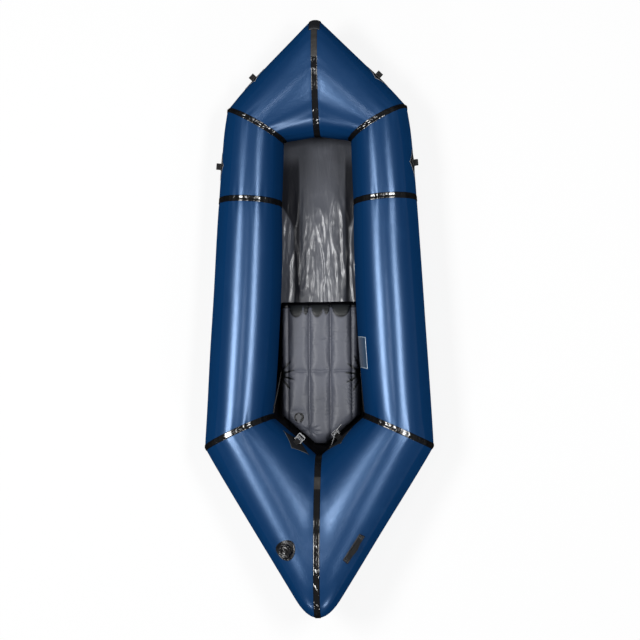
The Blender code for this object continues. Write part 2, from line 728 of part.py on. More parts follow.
def add_valve_cap(frame, collar_top, button_top):
    base = collar_top + GAP
    top = base + VALVE_CAP_THICKNESS
    plug = VALVE_BORE_RADIUS - VALVE_RUNNING
    plug_low = max(collar_top - VALVE_PLUG_DEPTH, button_top + VALVE_PLUG_CLEARANCE)
    inner = plug - VALVE_PLUG_WALL
    lobe = VALVE_CAP_LOBE
    rim = VALVE_CAP_RADIUS
    flat = rim - 2 * lobe
    steps = [
        (inner, base, 0.0), (inner, plug_low, 0.0), (plug, plug_low, 0.0), (plug, base, 0.0),
        (rim - lobe / 2, base, lobe), (rim, base + lobe / 2, lobe), (rim, top - lobe / 2, lobe),
        (rim - lobe / 2, top, lobe), (flat, top, 0.0), (flat - VALVE_CAP_DISH_SLOPE, top - VALVE_CAP_DISH, 0.0),
    ]
    return skin("main_valve_cap", [lobed_ring(*step) for step in steps], "valve_plastic", frame=frame)


# The main valve. Its frame stands on the fabric with z outwards.
def add_main_valve(spot, panel_object):
    frame = spot_frame(spot, 0.0)
    hole = VALVE_BARREL_RADIUS + GAP
    tool = turned("valve_hole", [(hole, -VALVE_BARREL_DEPTH), (hole, VALVE_BARREL_DEPTH)], "tube_fabric", frame)
    cut(panel_object, tool)
    flange_top = PATCH_GAP + VALVE_FLANGE_THICKNESS
    add_valve_flange(spot, hole + VALVE_FLANGE_ROOM, PATCH_GAP, flange_top)
    collar_top = flange_top + GAP + VALVE_COLLAR_HEIGHT
    add_valve_body(frame, flange_top + GAP, collar_top)
    add_valve_nut(frame, hole)
    button_top = -VALVE_BUTTON_DEPTH
    button_low = button_top - VALVE_BUTTON_THICKNESS
    add_plunger(frame, button_top, button_low)
    add_spring(frame, VALVE_SPIDER_THICKNESS - VALVE_SEAT_DEPTH + GAP, button_low - GAP)
    add_valve_cap(frame, collar_top, button_top)


# Seat pad
def inner_edge(reach):
    (fore_half, fore), (aft_half, aft) = SIDE_SEAM_INNER, STERN_SHOULDER_INNER
    return fore_half + (aft_half - fore_half) * (fore - reach) / (fore - aft)


PAD_HALF = inner_edge(PAD_FRONT) - PAD_SIDE_ROOM
PAD_CHANNEL = (PAD_HALF - PAD_ROLL_WIDTH) * 2 / PAD_CHANNELS
PAD_BASE = FLOOR_THICKNESS + GAP
FOLD_HALF = (PAD_CROWN - PAD_BASE) / math.tan((math.pi - BACKREST_LIFT) / 2) + PAD_FOLD_CLEARANCE


def pad_columns():
    places = [share * PAD_ROLL_WIDTH - PAD_HALF for share in PAD_ROLL_COLUMN_SHARES]
    steps = 6
    for channel in range(PAD_CHANNELS):
        centre = (channel + 0.5 - PAD_CHANNELS / 2) * PAD_CHANNEL
        for step in range(steps):
            places.append(centre - PAD_CHANNEL / 2 * math.cos(math.pi * step / steps))
    return places + [-place for place in places[len(PAD_ROLL_COLUMN_SHARES)::-1]]


# Height of the pad across its width, before its ends are drawn in
def pad_section(x):
    seam = PAD_CHANNELS / 2 * PAD_CHANNEL
    if abs(x) > seam:
        share = (abs(x) - seam) / PAD_ROLL_WIDTH
        edge = PAD_SEAM_HEIGHT + (PAD_RIM_HEIGHT - PAD_SEAM_HEIGHT) * share
        return edge + (PAD_ROLL_CROWN - PAD_SEAM_HEIGHT) * 2 * math.sin(math.pi * share)
    across = (x + seam) / PAD_CHANNEL % 1 * 2 - 1
    return PAD_SEAM_HEIGHT + (PAD_CROWN - PAD_SEAM_HEIGHT) * math.sqrt(max(1 - across * across, 0.0))


def pad_end(x):
    (half, corner), tip = STERN_SHOULDER_INNER, STERN_VERTEX[1]
    slope = (corner - tip) / half
    return tip + PAD_END_ROOM + slope * max(abs(x), PAD_BLUNT_END)


def drawn_in(distance, slope):
    share = min(distance / slope, 1.0)
    return math.sqrt(1 - (1 - share) ** 2)


def pad_height(x, y):
    full = pad_section(x)
    rim = min(PAD_RIM_HEIGHT, full)
    front = drawn_in(PAD_FRONT - y, PAD_FRONT_SLOPE)
    rear = drawn_in(y - pad_end(x), PAD_END_SLOPE)
    crease = PAD_CREASE * math.exp(-((y - PAD_FOLD) / (2 * PAD_CREASE)) ** 2)
    return rim + (full - crease - rim) * front * rear


def pad_rows(start, end_of, steps, crowd=1.0):
    rows = []
    for step in range(steps + 1):
        share = 1 - (1 - step / steps) ** crowd
        row = []
        for x in pad_columns():
            y = start + (end_of(x) - start) * share
            row.append(Vector((x, y, pad_height(x, y))))
        rows.append(row)
    return rows


def add_pad():
    fold_front = PAD_FOLD + FOLD_HALF
    fold_rear = PAD_FOLD - FOLD_HALF
    front = pad_rows(fold_front + GAP, lambda x: PAD_FRONT, 9, PAD_ROW_CROWDING)
    grid_over_floor("seat_cushion", front, PAD_BASE, "seat_fabric")
    middle = pad_rows(fold_front, lambda x: fold_rear, 6)
    grid_over_floor("seat_fold", middle, PAD_BASE, "seat_fabric")
    rear = pad_rows(fold_rear - GAP, pad_end, 8, PAD_ROW_CROWDING)
    return grid_over_floor("backrest", rear, PAD_BASE, "seat_fabric")


def add_seat_valve(backrest):
    crown = pad_height(SEAT_VALVE_X, SEAT_VALVE_Y)
    frame = Matrix.Translation((SEAT_VALVE_X, SEAT_VALVE_Y, crown))
    sunk = SEAT_FLANGE_THICKNESS
    pocket = SEAT_FLANGE_RADIUS + GAP
    tool = turned("seat_valve_pocket", [(pocket, -sunk - GAP), (pocket, OVERRUN)], "seat_fabric", frame)
    cut(backrest, tool)
    top = SEAT_NIPPLE_HEIGHT
    bore = SEAT_NIPPLE_BORE
    edge = SEAT_FLANGE_THICKNESS / 4
    profile = [
        (bore, -sunk), (SEAT_FLANGE_RADIUS, -sunk), (SEAT_FLANGE_RADIUS, -edge),
        (SEAT_FLANGE_RADIUS - edge, 0.0), (SEAT_NIPPLE_RADIUS, 0.0), (SEAT_NIPPLE_RADIUS, top), (bore, top),
    ]
    base = turned("seat_valve_base", profile, "valve_plastic", frame, round_trip=True)

    # Two ears on the flange hold the cap's pin, which lies across the raft
    axis_y = SEAT_CAP_RADIUS + SEAT_HINGE_RADIUS
    axis_z = top + GAP + SEAT_CAP_THICKNESS / 2
    ear_reach = SEAT_HINGE_WIDTH / 2 + GAP
    ear = SEAT_HINGE_RADIUS
    pin = ear / 2
    for side in (-1, 1):
        inner = side * ear_reach
        outer = side * (ear_reach + SEAT_EAR_WIDTH)
        loops = []
        for x in (inner, outer):
            outline = [(-ear, -edge - sunk / 2), (ear, -edge - sunk / 2), (ear, axis_z)]
            outline += [(ear / 2, axis_z + ear), (-ear / 2, axis_z + ear), (-ear, axis_z)]
            loops.append([Vector((x, axis_y + y, z)) for y, z in outline])
        join(base, skin("cap_ear", loops, "valve_plastic", frame=frame))
    turn = Matrix.Rotation(math.pi / 2, 4, "Y")
    pin_frame = frame @ Matrix.Translation((0.0, axis_y, axis_z)) @ turn
    bore_reach = ear_reach + SEAT_EAR_WIDTH / 2
    hole = pin + GAP
    cut(base, turned("pin_hole", [(hole, -bore_reach), (hole, bore_reach)], "valve_plastic", pin_frame))
    add_seat_cap(frame, axis_y, axis_z, pin, bore_reach - GAP)


# The cap turns on a pin at its fore edge and has a pull tab at its aft edge
def add_seat_cap(frame, axis_y, axis_z, pin, pin_reach):
    half = SEAT_CAP_THICKNESS / 2
    knuckle = SEAT_HINGE_WIDTH / 2
    tab = SEAT_HINGE_WIDTH / 2
    outline = [(-knuckle, 0.0), (knuckle, 0.0)]
    steps = 9
    start = math.asin(min(knuckle / SEAT_CAP_RADIUS, 1.0))
    end = math.pi - math.asin(tab / SEAT_CAP_RADIUS)
    for step in range(steps + 1):
        turn = start + (end - start) * step / steps
        outline.append((SEAT_CAP_RADIUS * math.sin(turn), SEAT_CAP_RADIUS * math.cos(turn) - axis_y))
    reach = -axis_y - SEAT_CAP_RADIUS - SEAT_CAP_TAB
    outline.append((tab, reach + tab / 2))
    outline.append((tab / 2, reach))
    outline += [(-x, y) for x, y in outline[:1:-1]]
    loops = [[Vector((x, y, height)) for x, y in outline] for height in (-half, half)]
    hinge = frame @ Matrix.Translation((0.0, axis_y, axis_z))
    cap = skin("seat_valve_cap", loops, "valve_plastic", frame=hinge)
    plug = SEAT_NIPPLE_BORE - VALVE_RUNNING
    foot = -half - SEAT_CAP_PLUG
    plug_steps = [(plug - SEAT_PLUG_TAPER, foot), (plug, foot + SEAT_PLUG_TAPER), (plug, 0.0)]
    join(cap, turned("cap_plug", plug_steps, "valve_plastic", hinge @ Matrix.Translation((0.0, -axis_y, 0.0))))
    across = hinge @ Matrix.Rotation(math.pi / 2, 4, "Y")
    join(cap, turned("cap_pin", [(pin, -pin_reach), (pin, pin_reach)], "valve_plastic", across))


# A strap lies on the side tube by the stern shoulder and crosses to a tab on the pad beside the fold
def add_strap(side, spot):
    sign = spot.panel.side
    face = PAD_HALF + GAP
    back = face + TAB_THICKNESS
    tab = []
    for x in (sign * face, sign * back):
        flat = [(-1, TAB_LOW), (1, TAB_LOW), (1, TAB_HIGH), (-1, TAB_HIGH)]
        tab.append([Vector((x, PAD_FOLD + edge * TAB_LENGTH / 2, z)) for edge, z in flat])
    skin("strap_tab_" + side, tab, "seat_fabric")
    corners = ((-1, 0), (1, 0), (1, 1), (-1, 1))
    near = back + GAP
    fore = [
        Vector((sign * (near + layer * STRAP_THICKNESS), PAD_FOLD, TAB_HIGH + (edge - 1) * STRAP_WIDTH / 2))
        for edge, layer in corners
    ]
    loops = []
    for room in (STRAP_END_ROOM, STRAP_END_ROOM + STRAP_SEWN):
        lifts = (PATCH_GAP + STRAP_THICKNESS, PATCH_GAP)
        back = math.copysign(room, -spot.run)
        loops.append([draped(spot, back, -edge * STRAP_WIDTH / 2, lifts[layer]) for edge, layer in corners])
    steps = 6
    aft = loops[1]
    for step in range(1, steps + 1):
        share = step / steps
        sag = Vector((0, 0, -STRAP_SAG * math.sin(math.pi * share)))
        loops.append([start.lerp(end, share) + sag for start, end in zip(aft, fore)])
    return skin("side_strap_" + side, loops, "webbing")


def add_floor():
    stations = []
    for rib in (BOW_RIB, BOW_SHOULDER_RIB, SIDE_RIB, STERN_SHOULDER_RIB, STERN_RIB):
        lowest = min(ROUND_ANGLES, key=lambda turn: rib_point(rib, turn, 0.0).z)
        stations.append(rib_point(rib, lowest, 0.0))
    bow, bow_side, middle, stern_side, stern = stations
    edge = FLOOR_OVERLAP
    half = [(edge, bow.y + edge / 2)]
    half += [(station.x + edge, station.y) for station in (bow_side, middle, stern_side)]
    half.append((edge, stern.y - edge / 2))
    outline = half + [(-x, y) for x, y in half[::-1]]
    loops = [[Vector((x, y, height)) for x, y in outline] for height in (0.0, FLOOR_THICKNESS)]
    return skin("floor_sheet", loops, "floor_fabric")


def build():
    panels = {}
    objects = {}
    for side, sign in (("port", -1), ("starboard", 1)):
        panels["bow", side] = Panel(BOW_RIB, BOW_SHOULDER_RIB, sign, True, BOW_TIP_EASE, 0.0)
        panels["fore", side] = Panel(BOW_SHOULDER_RIB, SIDE_RIB, sign, False, 0.0, 0.0)
        panels["aft", side] = Panel(SIDE_RIB, STERN_SHOULDER_RIB, sign, False, 0.0, SIDE_BELLY)
        panels["stern", side] = Panel(STERN_RIB, STERN_SHOULDER_RIB, sign, True, STERN_TIP_EASE, 0.0)
        for part in ("bow", "fore", "aft", "stern"):
            objects[part, side] = add_panel(part + "_panel_" + side, panels[part, side])
        joints = {
            "bow_shoulder_tape_": ("bow", 1, "fore", 0),
            "side_seam_tape_": ("fore", 1, "aft", 0),
            "stern_shoulder_tape_": ("aft", 1, "stern", 1),
        }
        for name, (first, first_at, second, second_at) in joints.items():
            pair = (panels[first, side], first_at, panels[second, side], second_at)
            add_tape(name + side, *pair, SEAM_TAPE_WIDTH)
    for end in ("bow", "stern"):
        pair = (panels[end, "port"], 0, panels[end, "starboard"], 0)
        add_tape(end + "_centre_tape", *pair, CENTRE_TAPE_WIDTH)
    add_tip_patch("bow_tip_patch", panels["bow", "port"], panels["bow", "starboard"])
    add_floor()
    backrest = add_pad()
    add_seat_valve(backrest)
    for side in ("port", "starboard"):
        add_tie_down("bow_tie_down_" + side, make_spot(panels["bow", side], BOW_TIE_SHARE, TIE_ANGLE))
        add_tie_down("side_tie_down_" + side, make_spot(panels["fore", side], SIDE_TIE_SHARE, TIE_ANGLE))
        spot = make_spot(panels["stern", side], ANCHOR_SHARE, ANCHOR_ANGLES[side])
        add_anchor(side, spot)
        add_strap(side, make_spot(panels["aft", side], 1.0, math.pi))
    add_tail(spot)
    add_handle(make_spot(panels["stern", "starboard"], HANDLE_SHARE, HANDLE_ANGLE))
    add_main_valve(make_spot(panels["stern", "port"], VALVE_SHARE, VALVE_ANGLE), objects["stern", "port"])


clear_scene()
MATERIALS = make_materials()
build()
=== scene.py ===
# Looks of the open single-seat packraft. Metres, +Y to the bow, +X to starboard, +Z up.
import math

import bmesh
import bpy
import numpy as np
from mathutils import Matrix, Vector, noise


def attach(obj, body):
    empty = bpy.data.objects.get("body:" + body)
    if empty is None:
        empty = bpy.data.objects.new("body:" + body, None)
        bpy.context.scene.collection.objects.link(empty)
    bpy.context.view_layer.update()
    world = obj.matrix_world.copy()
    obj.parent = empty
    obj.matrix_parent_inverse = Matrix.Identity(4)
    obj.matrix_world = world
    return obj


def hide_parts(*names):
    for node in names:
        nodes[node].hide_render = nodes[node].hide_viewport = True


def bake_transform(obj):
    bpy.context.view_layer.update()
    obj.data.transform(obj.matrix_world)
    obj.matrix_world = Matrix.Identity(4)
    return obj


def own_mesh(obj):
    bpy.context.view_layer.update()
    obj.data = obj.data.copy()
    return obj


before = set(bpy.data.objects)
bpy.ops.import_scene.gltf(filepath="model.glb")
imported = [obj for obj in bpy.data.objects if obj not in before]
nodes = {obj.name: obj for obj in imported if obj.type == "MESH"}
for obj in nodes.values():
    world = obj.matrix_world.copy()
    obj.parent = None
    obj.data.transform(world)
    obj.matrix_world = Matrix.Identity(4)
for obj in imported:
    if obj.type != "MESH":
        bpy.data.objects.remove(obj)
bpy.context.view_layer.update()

scene = bpy.context.scene
tau = 2 * math.pi
print("frame loaded")


def addObject(name, data):
    piece = bpy.data.objects.new(name, data)
    scene.collection.objects.link(piece)
    return piece


# ---- camera, lamps and floor

cameraView = {
    "place": (0.5481, -0.7023, 7.0),
    "turn": (0.0984, 0.0794, -0.0066),
    "lens": 95.27,
    "sensor": 36.0,
    "farthest": 200.0,
}

studio = {
    "skyColour": (0.93, 0.96, 1.0),
    "skyStrength": 0.07,
    # Each lamp: name, place, width, length, watts
    "lamps": (
        ("portStrip", (-3.6, 0.35, 6.0), 1.5, 2.6, 300.0),
        ("starboardStrip", (3.0, 0.45, 6.0), 1.1, 2.6, 212.0),
        ("overhead", (-0.45, 0.60, 6.0), 0.9, 0.5, 18.0),
        ("sternPort", (-4.2, -7.5, 4.6), 1.3, 1.3, 120.0),
        ("sternStarboard", (4.2, -7.5, 4.6), 1.3, 1.3, 150.0),
    ),
    "floorColour": (0.86, 0.86, 0.86),
    "floorGlow": 0.84,  # share of plain white in the floor's picture
    "floorReach": 40.0,
    "floorHeight": -0.0005,
}


def addCamera():
    data = bpy.data.cameras.new("studioCamera")
    data.lens = cameraView["lens"]
    data.sensor_width = cameraView["sensor"]
    data.clip_end = cameraView["farthest"]
    camera = addObject("studioCamera", data)
    camera.location = cameraView["place"]
    camera.rotation_euler = cameraView["turn"]
    scene.camera = camera


def addLamp(name, where, width, length, watts):
    data = bpy.data.lights.new(name, "AREA")
    data.shape = "RECTANGLE"
    data.size, data.size_y = width, length
    data.energy = watts
    lamp = addObject(name, data)
    lamp.location = where
    lamp.rotation_euler = (0.0, math.atan2(where[0], where[2]), 0.0)
    if abs(where[1]) > length:
        lamp.rotation_euler = Vector(where).to_track_quat("Z", "Y").to_euler()


def addSky():
    world = bpy.data.worlds.new("studioSky")
    world.use_nodes = True
    shade = world.node_tree.nodes["Background"]
    shade.inputs["Color"].default_value = (*studio["skyColour"], 1.0)
    shade.inputs["Strength"].default_value = studio["skyStrength"]
    scene.world = world


addCamera()
for lamp in studio["lamps"]:
    addLamp(*lamp)
addSky()
scene.view_settings.view_transform = "Standard"
print("camera and lamps set")


# ---- shader helpers

def addNode(tree, kind, inputs=None, **settings):
    node = tree.nodes.new(kind)
    for key, value in settings.items():
        setattr(node, key, value)
    for key, value in (inputs or {}).items():
        if isinstance(value, bpy.types.NodeSocket):
            tree.links.new(value, node.inputs[key])
        else:
            node.inputs[key].default_value = value
    return node


def doMath(tree, operation, first, second=0.0, third=0.0):
    values = {0: first, 1: second, 2: third}
    return addNode(tree, "ShaderNodeMath", values, operation=operation).outputs[0]


def addNoise(tree, vector, scale, detail, **more):
    values = {"Vector": vector, "Scale": scale, "Detail": detail, **more}
    return addNode(tree, "ShaderNodeTexNoise", values).outputs[0]


# A value that the mesh carries at each point
def meshMark(tree, label):
    return addNode(tree, "ShaderNodeAttribute", attribute_name=label).outputs["Fac"]


def mapRange(tree, value, fromMin, fromMax, toMin=0.0, toMax=1.0):
    return addNode(tree, "ShaderNodeMapRange", {"Value": value, "From Min": fromMin, "From Max": fromMax,
                                                "To Min": toMin, "To Max": toMax}).outputs[0]


def newGroup(name, inputs, outputs):
    group = bpy.data.node_groups.new(name, "ShaderNodeTree")
    for label, kind, value in inputs:
        socket = group.interface.new_socket(label, in_out="INPUT", socket_type=kind)
        if value is not None:
            socket.default_value = value
    for label, kind in outputs:
        group.interface.new_socket(label, in_out="OUTPUT", socket_type=kind)
    return group, group.nodes.new("NodeGroupInput"), group.nodes.new("NodeGroupOutput")


# Woven yarns: pitch is the width of one yarn in metres
def makeWeave():
    sockets = [("Vector", "NodeSocketVector", None), ("Pitch", "NodeSocketFloat", 0.0006),
               ("Slant", "NodeSocketFloat", 0.0)]
    group, given, made = newGroup("wovenYarns", sockets,
                                  [("Height", "NodeSocketFloat"), ("Tone", "NodeSocketFloat")])
    parts = addNode(group, "ShaderNodeSeparateXYZ", {0: given.outputs["Vector"]})
    rate = doMath(group, "DIVIDE", math.pi, given.outputs["Pitch"])
    lean = doMath(group, "MULTIPLY", parts.outputs["Y"], given.outputs["Slant"])
    along = doMath(group, "MULTIPLY", doMath(group, "ADD", parts.outputs["X"], lean), rate)
    across = doMath(group, "MULTIPLY", parts.outputs["Y"], rate)
    warp = doMath(group, "SINE", along)
    weft = doMath(group, "SINE", across)
    height = doMath(group, "MULTIPLY_ADD", doMath(group, "MULTIPLY", warp, weft), 0.5, 0.5)
    stray = addNoise(group, given.outputs["Vector"], 260.0, 3.0)
    tone = doMath(group, "MULTIPLY_ADD", stray, 0.6, doMath(group, "MULTIPLY", height, 0.4))
    group.links.new(height, made.inputs["Height"])
    group.links.new(tone, made.inputs["Tone"])
    return group


# Crinkled coating: soft ridges across a strip, drawn out along Stretch
def makeCrinkle():
    sockets = [("Vector", "NodeSocketVector", None), ("Scale", "NodeSocketFloat", 60.0),
               ("Stretch", "NodeSocketFloat", 0.3), ("Fine", "NodeSocketFloat", 0.3)]
    group, given, made = newGroup("crinkledCoat", sockets, [("Height", "NodeSocketFloat")])
    rates = addNode(group, "ShaderNodeCombineXYZ", {0: 1.0, 1: given.outputs["Stretch"], 2: 1.0})
    pair = {0: given.outputs["Vector"], 1: rates.outputs[0]}
    drawn = addNode(group, "ShaderNodeVectorMath", pair, operation="MULTIPLY")
    broad = addNoise(group, drawn.outputs[0], given.outputs["Scale"], 2.0, Distortion=0.8)
    finer = doMath(group, "MULTIPLY", given.outputs["Scale"], 5.0)
    small = addNoise(group, drawn.outputs[0], finer, 3.0)
    height = doMath(group, "MULTIPLY_ADD", small, given.outputs["Fine"], broad)
    group.links.new(height, made.inputs["Height"])
    return group


# Handling marks: a mask of faint scuffs and dust, near 0 where clean
def makeScuffs():
    sockets = [("Vector", "NodeSocketVector", None), ("Scale", "NodeSocketFloat", 14.0),
               ("Cover", "NodeSocketFloat", 0.4)]
    group, given, made = newGroup("handlingMarks", sockets, [("Mask", "NodeSocketFloat")])
    cloud = addNoise(group, given.outputs["Vector"], given.outputs["Scale"], 6.0, Roughness=0.65)
    low = doMath(group, "SUBTRACT", 1.0, given.outputs["Cover"])
    mask = doMath(group, "MULTIPLY", doMath(group, "SUBTRACT", cloud, low), 3.0)
    group.links.new(addNode(group, "ShaderNodeClamp", {"Value": mask}).outputs[0], made.inputs["Mask"])
    return group


weave = makeWeave()
crinkle = makeCrinkle()
scuffs = makeScuffs()


def useGroup(tree, group, **values):
    return addNode(tree, "ShaderNodeGroup", values, node_tree=group)


# A material with plain numbers on its shader, and the tools to add what varies over the surface
def newMaterial(name, colour, roughness, **plain):
    material = bpy.data.materials.new(name)
    material.use_nodes = True
    tree = material.node_tree
    shader = tree.nodes["Principled BSDF"]
    shader.inputs["Base Color"].default_value = (*colour, 1.0)
    shader.inputs["Roughness"].default_value = roughness
    for label, value in plain.items():
        shader.inputs[label.replace("_", " ")].default_value = value
    return material, tree, shader


def whereOn(tree, source="Object"):
    if source == "UV":
        return addNode(tree, "ShaderNodeUVMap", uv_map="strip").outputs[0]
    return addNode(tree, "ShaderNodeTexCoord").outputs["Object"]


# Colour that drifts between two tones by a mask, with the roughness following it
def blendTones(tree, shader, mask, first, second, rough=None):
    mixed = addNode(tree, "ShaderNodeMix", {0: mask, 6: (*first, 1.0), 7: (*second, 1.0)}, data_type="RGBA")
    tree.links.new(mixed.outputs[2], shader.inputs["Base Color"])
    if rough:
        tree.links.new(mapRange(tree, mask, 0.0, 1.0, *rough), shader.inputs["Roughness"])


# A second colour laid over what already feeds the shader, by an attribute of the mesh
def paintOver(tree, shader, label, colour):
    under = shader.inputs["Base Color"].links[0].from_socket
    values = {0: meshMark(tree, label), 6: under, 7: (*colour, 1.0)}
    mixed = addNode(tree, "ShaderNodeMix", values, data_type="RGBA")
    tree.links.new(mixed.outputs[2], shader.inputs["Base Color"])


def addBumps(tree, shader, *heights):
    under = {}
    for height, distance, strength in heights:
        values = {"Height": height, "Distance": distance, "Strength": strength, **under}
        under = {"Normal": addNode(tree, "ShaderNodeBump", values).outputs[0]}
    tree.links.new(under["Normal"], shader.inputs["Normal"])


def scaled(colour, factor):
    return tuple(factor * value for value in colour)


# Handling marks in a second tone, with a roughness of their own
def addWear(tree, shader, where, scale, cover, tones, rough):
    marks = useGroup(tree, scuffs, Vector=where, Scale=scale, Cover=cover)
    blendTones(tree, shader, marks.outputs[0], *tones, rough)


# ---- materials

finish = {
    "navy": (0.0036, 0.0315, 0.104),
    "navyWorn": (0.0046, 0.037, 0.117),
    "navySheen": (0.36, 0.60, 1.0),
    "tapeBlack": (0.006, 0.006, 0.0065),
    "tapeHaze": (0.030, 0.028, 0.026),
    "floorGrey": (0.078, 0.083, 0.100),
    # Painted shade colour for the floor cloth
    "floorShade": (0.004, 0.004, 0.006),
    "seatGrey": (0.090, 0.096, 0.120),
    "seatDark": (0.009, 0.011, 0.012),
    "seatOutline": (0.003, 0.003, 0.004),
    "patchBlack": (0.016, 0.017, 0.019),
    "rimHighlight": (0.30, 0.31, 0.33),
    "webBlack": (0.007, 0.007, 0.008),
    "webWorn": (0.016, 0.016, 0.016),
    "plasticBlack": (0.004, 0.004, 0.005),
    "capGrey": (0.060, 0.062, 0.070),
    "plateField": (0.048, 0.082, 0.135),
    "plateRim": (0.34, 0.42, 0.50),
    "buckleGrey": (0.008, 0.008, 0.009),
    "threadGrey": (0.045, 0.045, 0.048),
    "threadPale": (0.24, 0.24, 0.26),
    "edgeHighlight": (0.62, 0.63, 0.64),
    "anchorRimHighlight": (0.075, 0.085, 0.095),
    "glintWhite": (0.86, 0.87, 0.88),
    "glintGrey": (0.45, 0.46, 0.47),
    "steel": (0.56, 0.56, 0.58),
    "rubber": (0.02, 0.02, 0.02),
}


# The coated cloth mirrors less at a glancing angle than a plain film would
def softenEdge(tree, shader, level, coat):
    facing = addNode(tree, "ShaderNodeLayerWeight", {"Blend": 0.5}).outputs["Facing"]
    for label, value in (("Specular IOR Level", level), ("Coat Weight", coat)):
        shader.inputs[label].default_value = value / 2
        tree.links.new(mapRange(tree, facing, 0.12, 0.31, value, 0.0), shader.inputs[label])


def makeTubeFabric():
    material, tree, shader = newMaterial("tubeFabric", finish["navy"], 0.30)
    shader.inputs["Specular Tint"].default_value = (*finish["navySheen"], 1.0)
    shader.inputs["Coat Roughness"].default_value = 0.22
    softenEdge(tree, shader, 0.95, 0.20)
    where = whereOn(tree)
    addWear(tree, shader, where, 7.0, 0.5, (finish["navy"], finish["navyWorn"]), (0.29, 0.36))
    grain = useGroup(tree, weave, Vector=whereOn(tree, "UV"), Pitch=0.0007)
    dimples = addNoise(tree, where, 42.0, 2.0)
    addBumps(tree, shader, (dimples, 0.0010, 0.16), (grain.outputs["Height"], 0.00005, 0.35))
    return material


def makeSeamTape():
    material, tree, shader = newMaterial("seamTape", finish["tapeBlack"], 0.14)
    shader.inputs["Coat Roughness"].default_value = 0.05
    softenEdge(tree, shader, 0.6, 1.0)
    marks = useGroup(tree, scuffs, Vector=whereOn(tree), Scale=26.0, Cover=0.46)
    faint = doMath(tree, "MULTIPLY", marks.outputs[0], 0.4)
    matteAndScuffed = doMath(tree, "MULTIPLY_ADD", meshMark(tree, "dull"), 1.6, faint)
    blendTones(tree, shader, matteAndScuffed, finish["tapeBlack"], finish["tapeHaze"], (0.12, 0.36))
    folds = useGroup(tree, crinkle, Vector=whereOn(tree, "UV"), Scale=55.0, Stretch=0.30, Fine=0.18)
    addBumps(tree, shader, (folds.outputs[0], 0.0035, 0.55))
    return material


def makeFloorFabric():
    material, tree, shader = newMaterial("floorFabric", finish["floorGrey"], 0.30, Specular_IOR_Level=0.45)
    shader.inputs["Coat Roughness"].default_value = 0.20
    where = whereOn(tree)
    tones = (finish["floorGrey"], scaled(finish["floorGrey"], 1.35))
    addWear(tree, shader, where, 9.0, 0.5, tones, (0.30, 0.40))
    # Painted shade: where the mesh's shaded mark is high the floor cloth turns near black and reflects less
    paintOver(tree, shader, "shaded", finish["floorShade"])
    shade = meshMark(tree, "shaded")
    for label, loss, value in (("Coat Weight", -0.35, 0.35), ("Specular IOR Level", -0.42, 0.45)):
        tree.links.new(doMath(tree, "MULTIPLY_ADD", shade, loss, value), shader.inputs[label])
    grain = useGroup(tree, weave, Vector=whereOn(tree, "UV"), Pitch=0.0008)
    creases = useGroup(tree, crinkle, Vector=where, Scale=34.0, Stretch=0.18, Fine=0.16)
    addBumps(tree, shader, (creases.outputs[0], 0.0045, 0.45), (grain.outputs["Height"], 0.00005, 0.4))
    return material


def makeSeatFabric():
    material, tree, shader = newMaterial("seatFabric", finish["seatGrey"], 0.52)
    shader.inputs["Coat Roughness"].default_value = 0.32
    softenEdge(tree, shader, 0.5, 0.10)
    where = whereOn(tree)
    tones = (finish["seatGrey"], scaled(finish["seatGrey"], 1.25))
    addWear(tree, shader, where, 11.0, 0.5, tones, (0.50, 0.58))
    # The dark mark holds the dark front band, painted shade in the gathers and painted shade on the backrest
    paintOver(tree, shader, "dark", finish["seatDark"])
    paintOver(tree, shader, "outline", finish["seatOutline"])
    grain = useGroup(tree, weave, Vector=where, Pitch=0.0007)
    creases = useGroup(tree, crinkle, Vector=where, Scale=55.0, Stretch=0.35, Fine=0.2)
    addBumps(tree, shader, (creases.outputs[0], 0.0030, 0.30), (grain.outputs["Height"], 0.00006, 0.5))
    return material


# Patches carry an attribute that is 1 at their glued rim, where a pale tone is a painted highlight of the
# edge catching the light
def makePatchFabric(name, rimHighlightTone, rimStart):
    material, tree, shader = newMaterial(name, finish["patchBlack"], 0.42)
    softenEdge(tree, shader, 0.5, 0.0)
    where = whereOn(tree)
    edge = mapRange(tree, meshMark(tree, "rim"), rimStart, rimStart + 0.02)
    blendTones(tree, shader, edge, finish["patchBlack"], rimHighlightTone, (0.40, 0.30))
    grain = useGroup(tree, weave, Vector=where, Pitch=0.0008)
    creases = useGroup(tree, crinkle, Vector=where, Scale=70.0, Stretch=1.0, Fine=0.3)
    addBumps(tree, shader, (creases.outputs[0], 0.0016, 0.35), (grain.outputs["Height"], 0.00010, 0.6))
    return material


def makeWebbing():
    material, tree, shader = newMaterial("webbing", finish["webBlack"], 0.62, Specular_IOR_Level=0.2)
    shader.inputs["Sheen Weight"].default_value = 0.06
    yarns = useGroup(tree, weave, Vector=whereOn(tree, "UV"), Pitch=0.0011, Slant=0.8)
    blendTones(tree, shader, yarns.outputs["Tone"], finish["webBlack"], finish["webWorn"], (0.55, 0.75))
    addBumps(tree, shader, (yarns.outputs["Height"], 0.00035, 0.9))
    return material


def makeMoulded(name, colour, roughness, grainDepth):
    material, tree, shader = newMaterial(name, colour, roughness, Specular_IOR_Level=0.5)
    where = whereOn(tree)
    addWear(tree, shader, where, 60.0, 0.48, (colour, scaled(colour, 1.8)), (roughness, roughness + 0.14))
    addBumps(tree, shader, (addNoise(tree, where, 900.0, 2.0), grainDepth, 0.5))
    return material


def makeSpringSteel():
    material, tree, shader = newMaterial("springSteel", finish["steel"], 0.25, Metallic=1.0)
    drawn = addNoise(tree, whereOn(tree), 700.0, 2.0)
    tree.links.new(mapRange(tree, drawn, 0.0, 1.0, 0.18, 0.36), shader.inputs["Roughness"])
    return material


def makeThread(name, colour):
    material, tree, shader = newMaterial(name, colour, 0.6)
    blendTones(tree, shader, addNoise(tree, whereOn(tree), 1500.0, 1.0), colour, scaled(colour, 0.5))
    return material
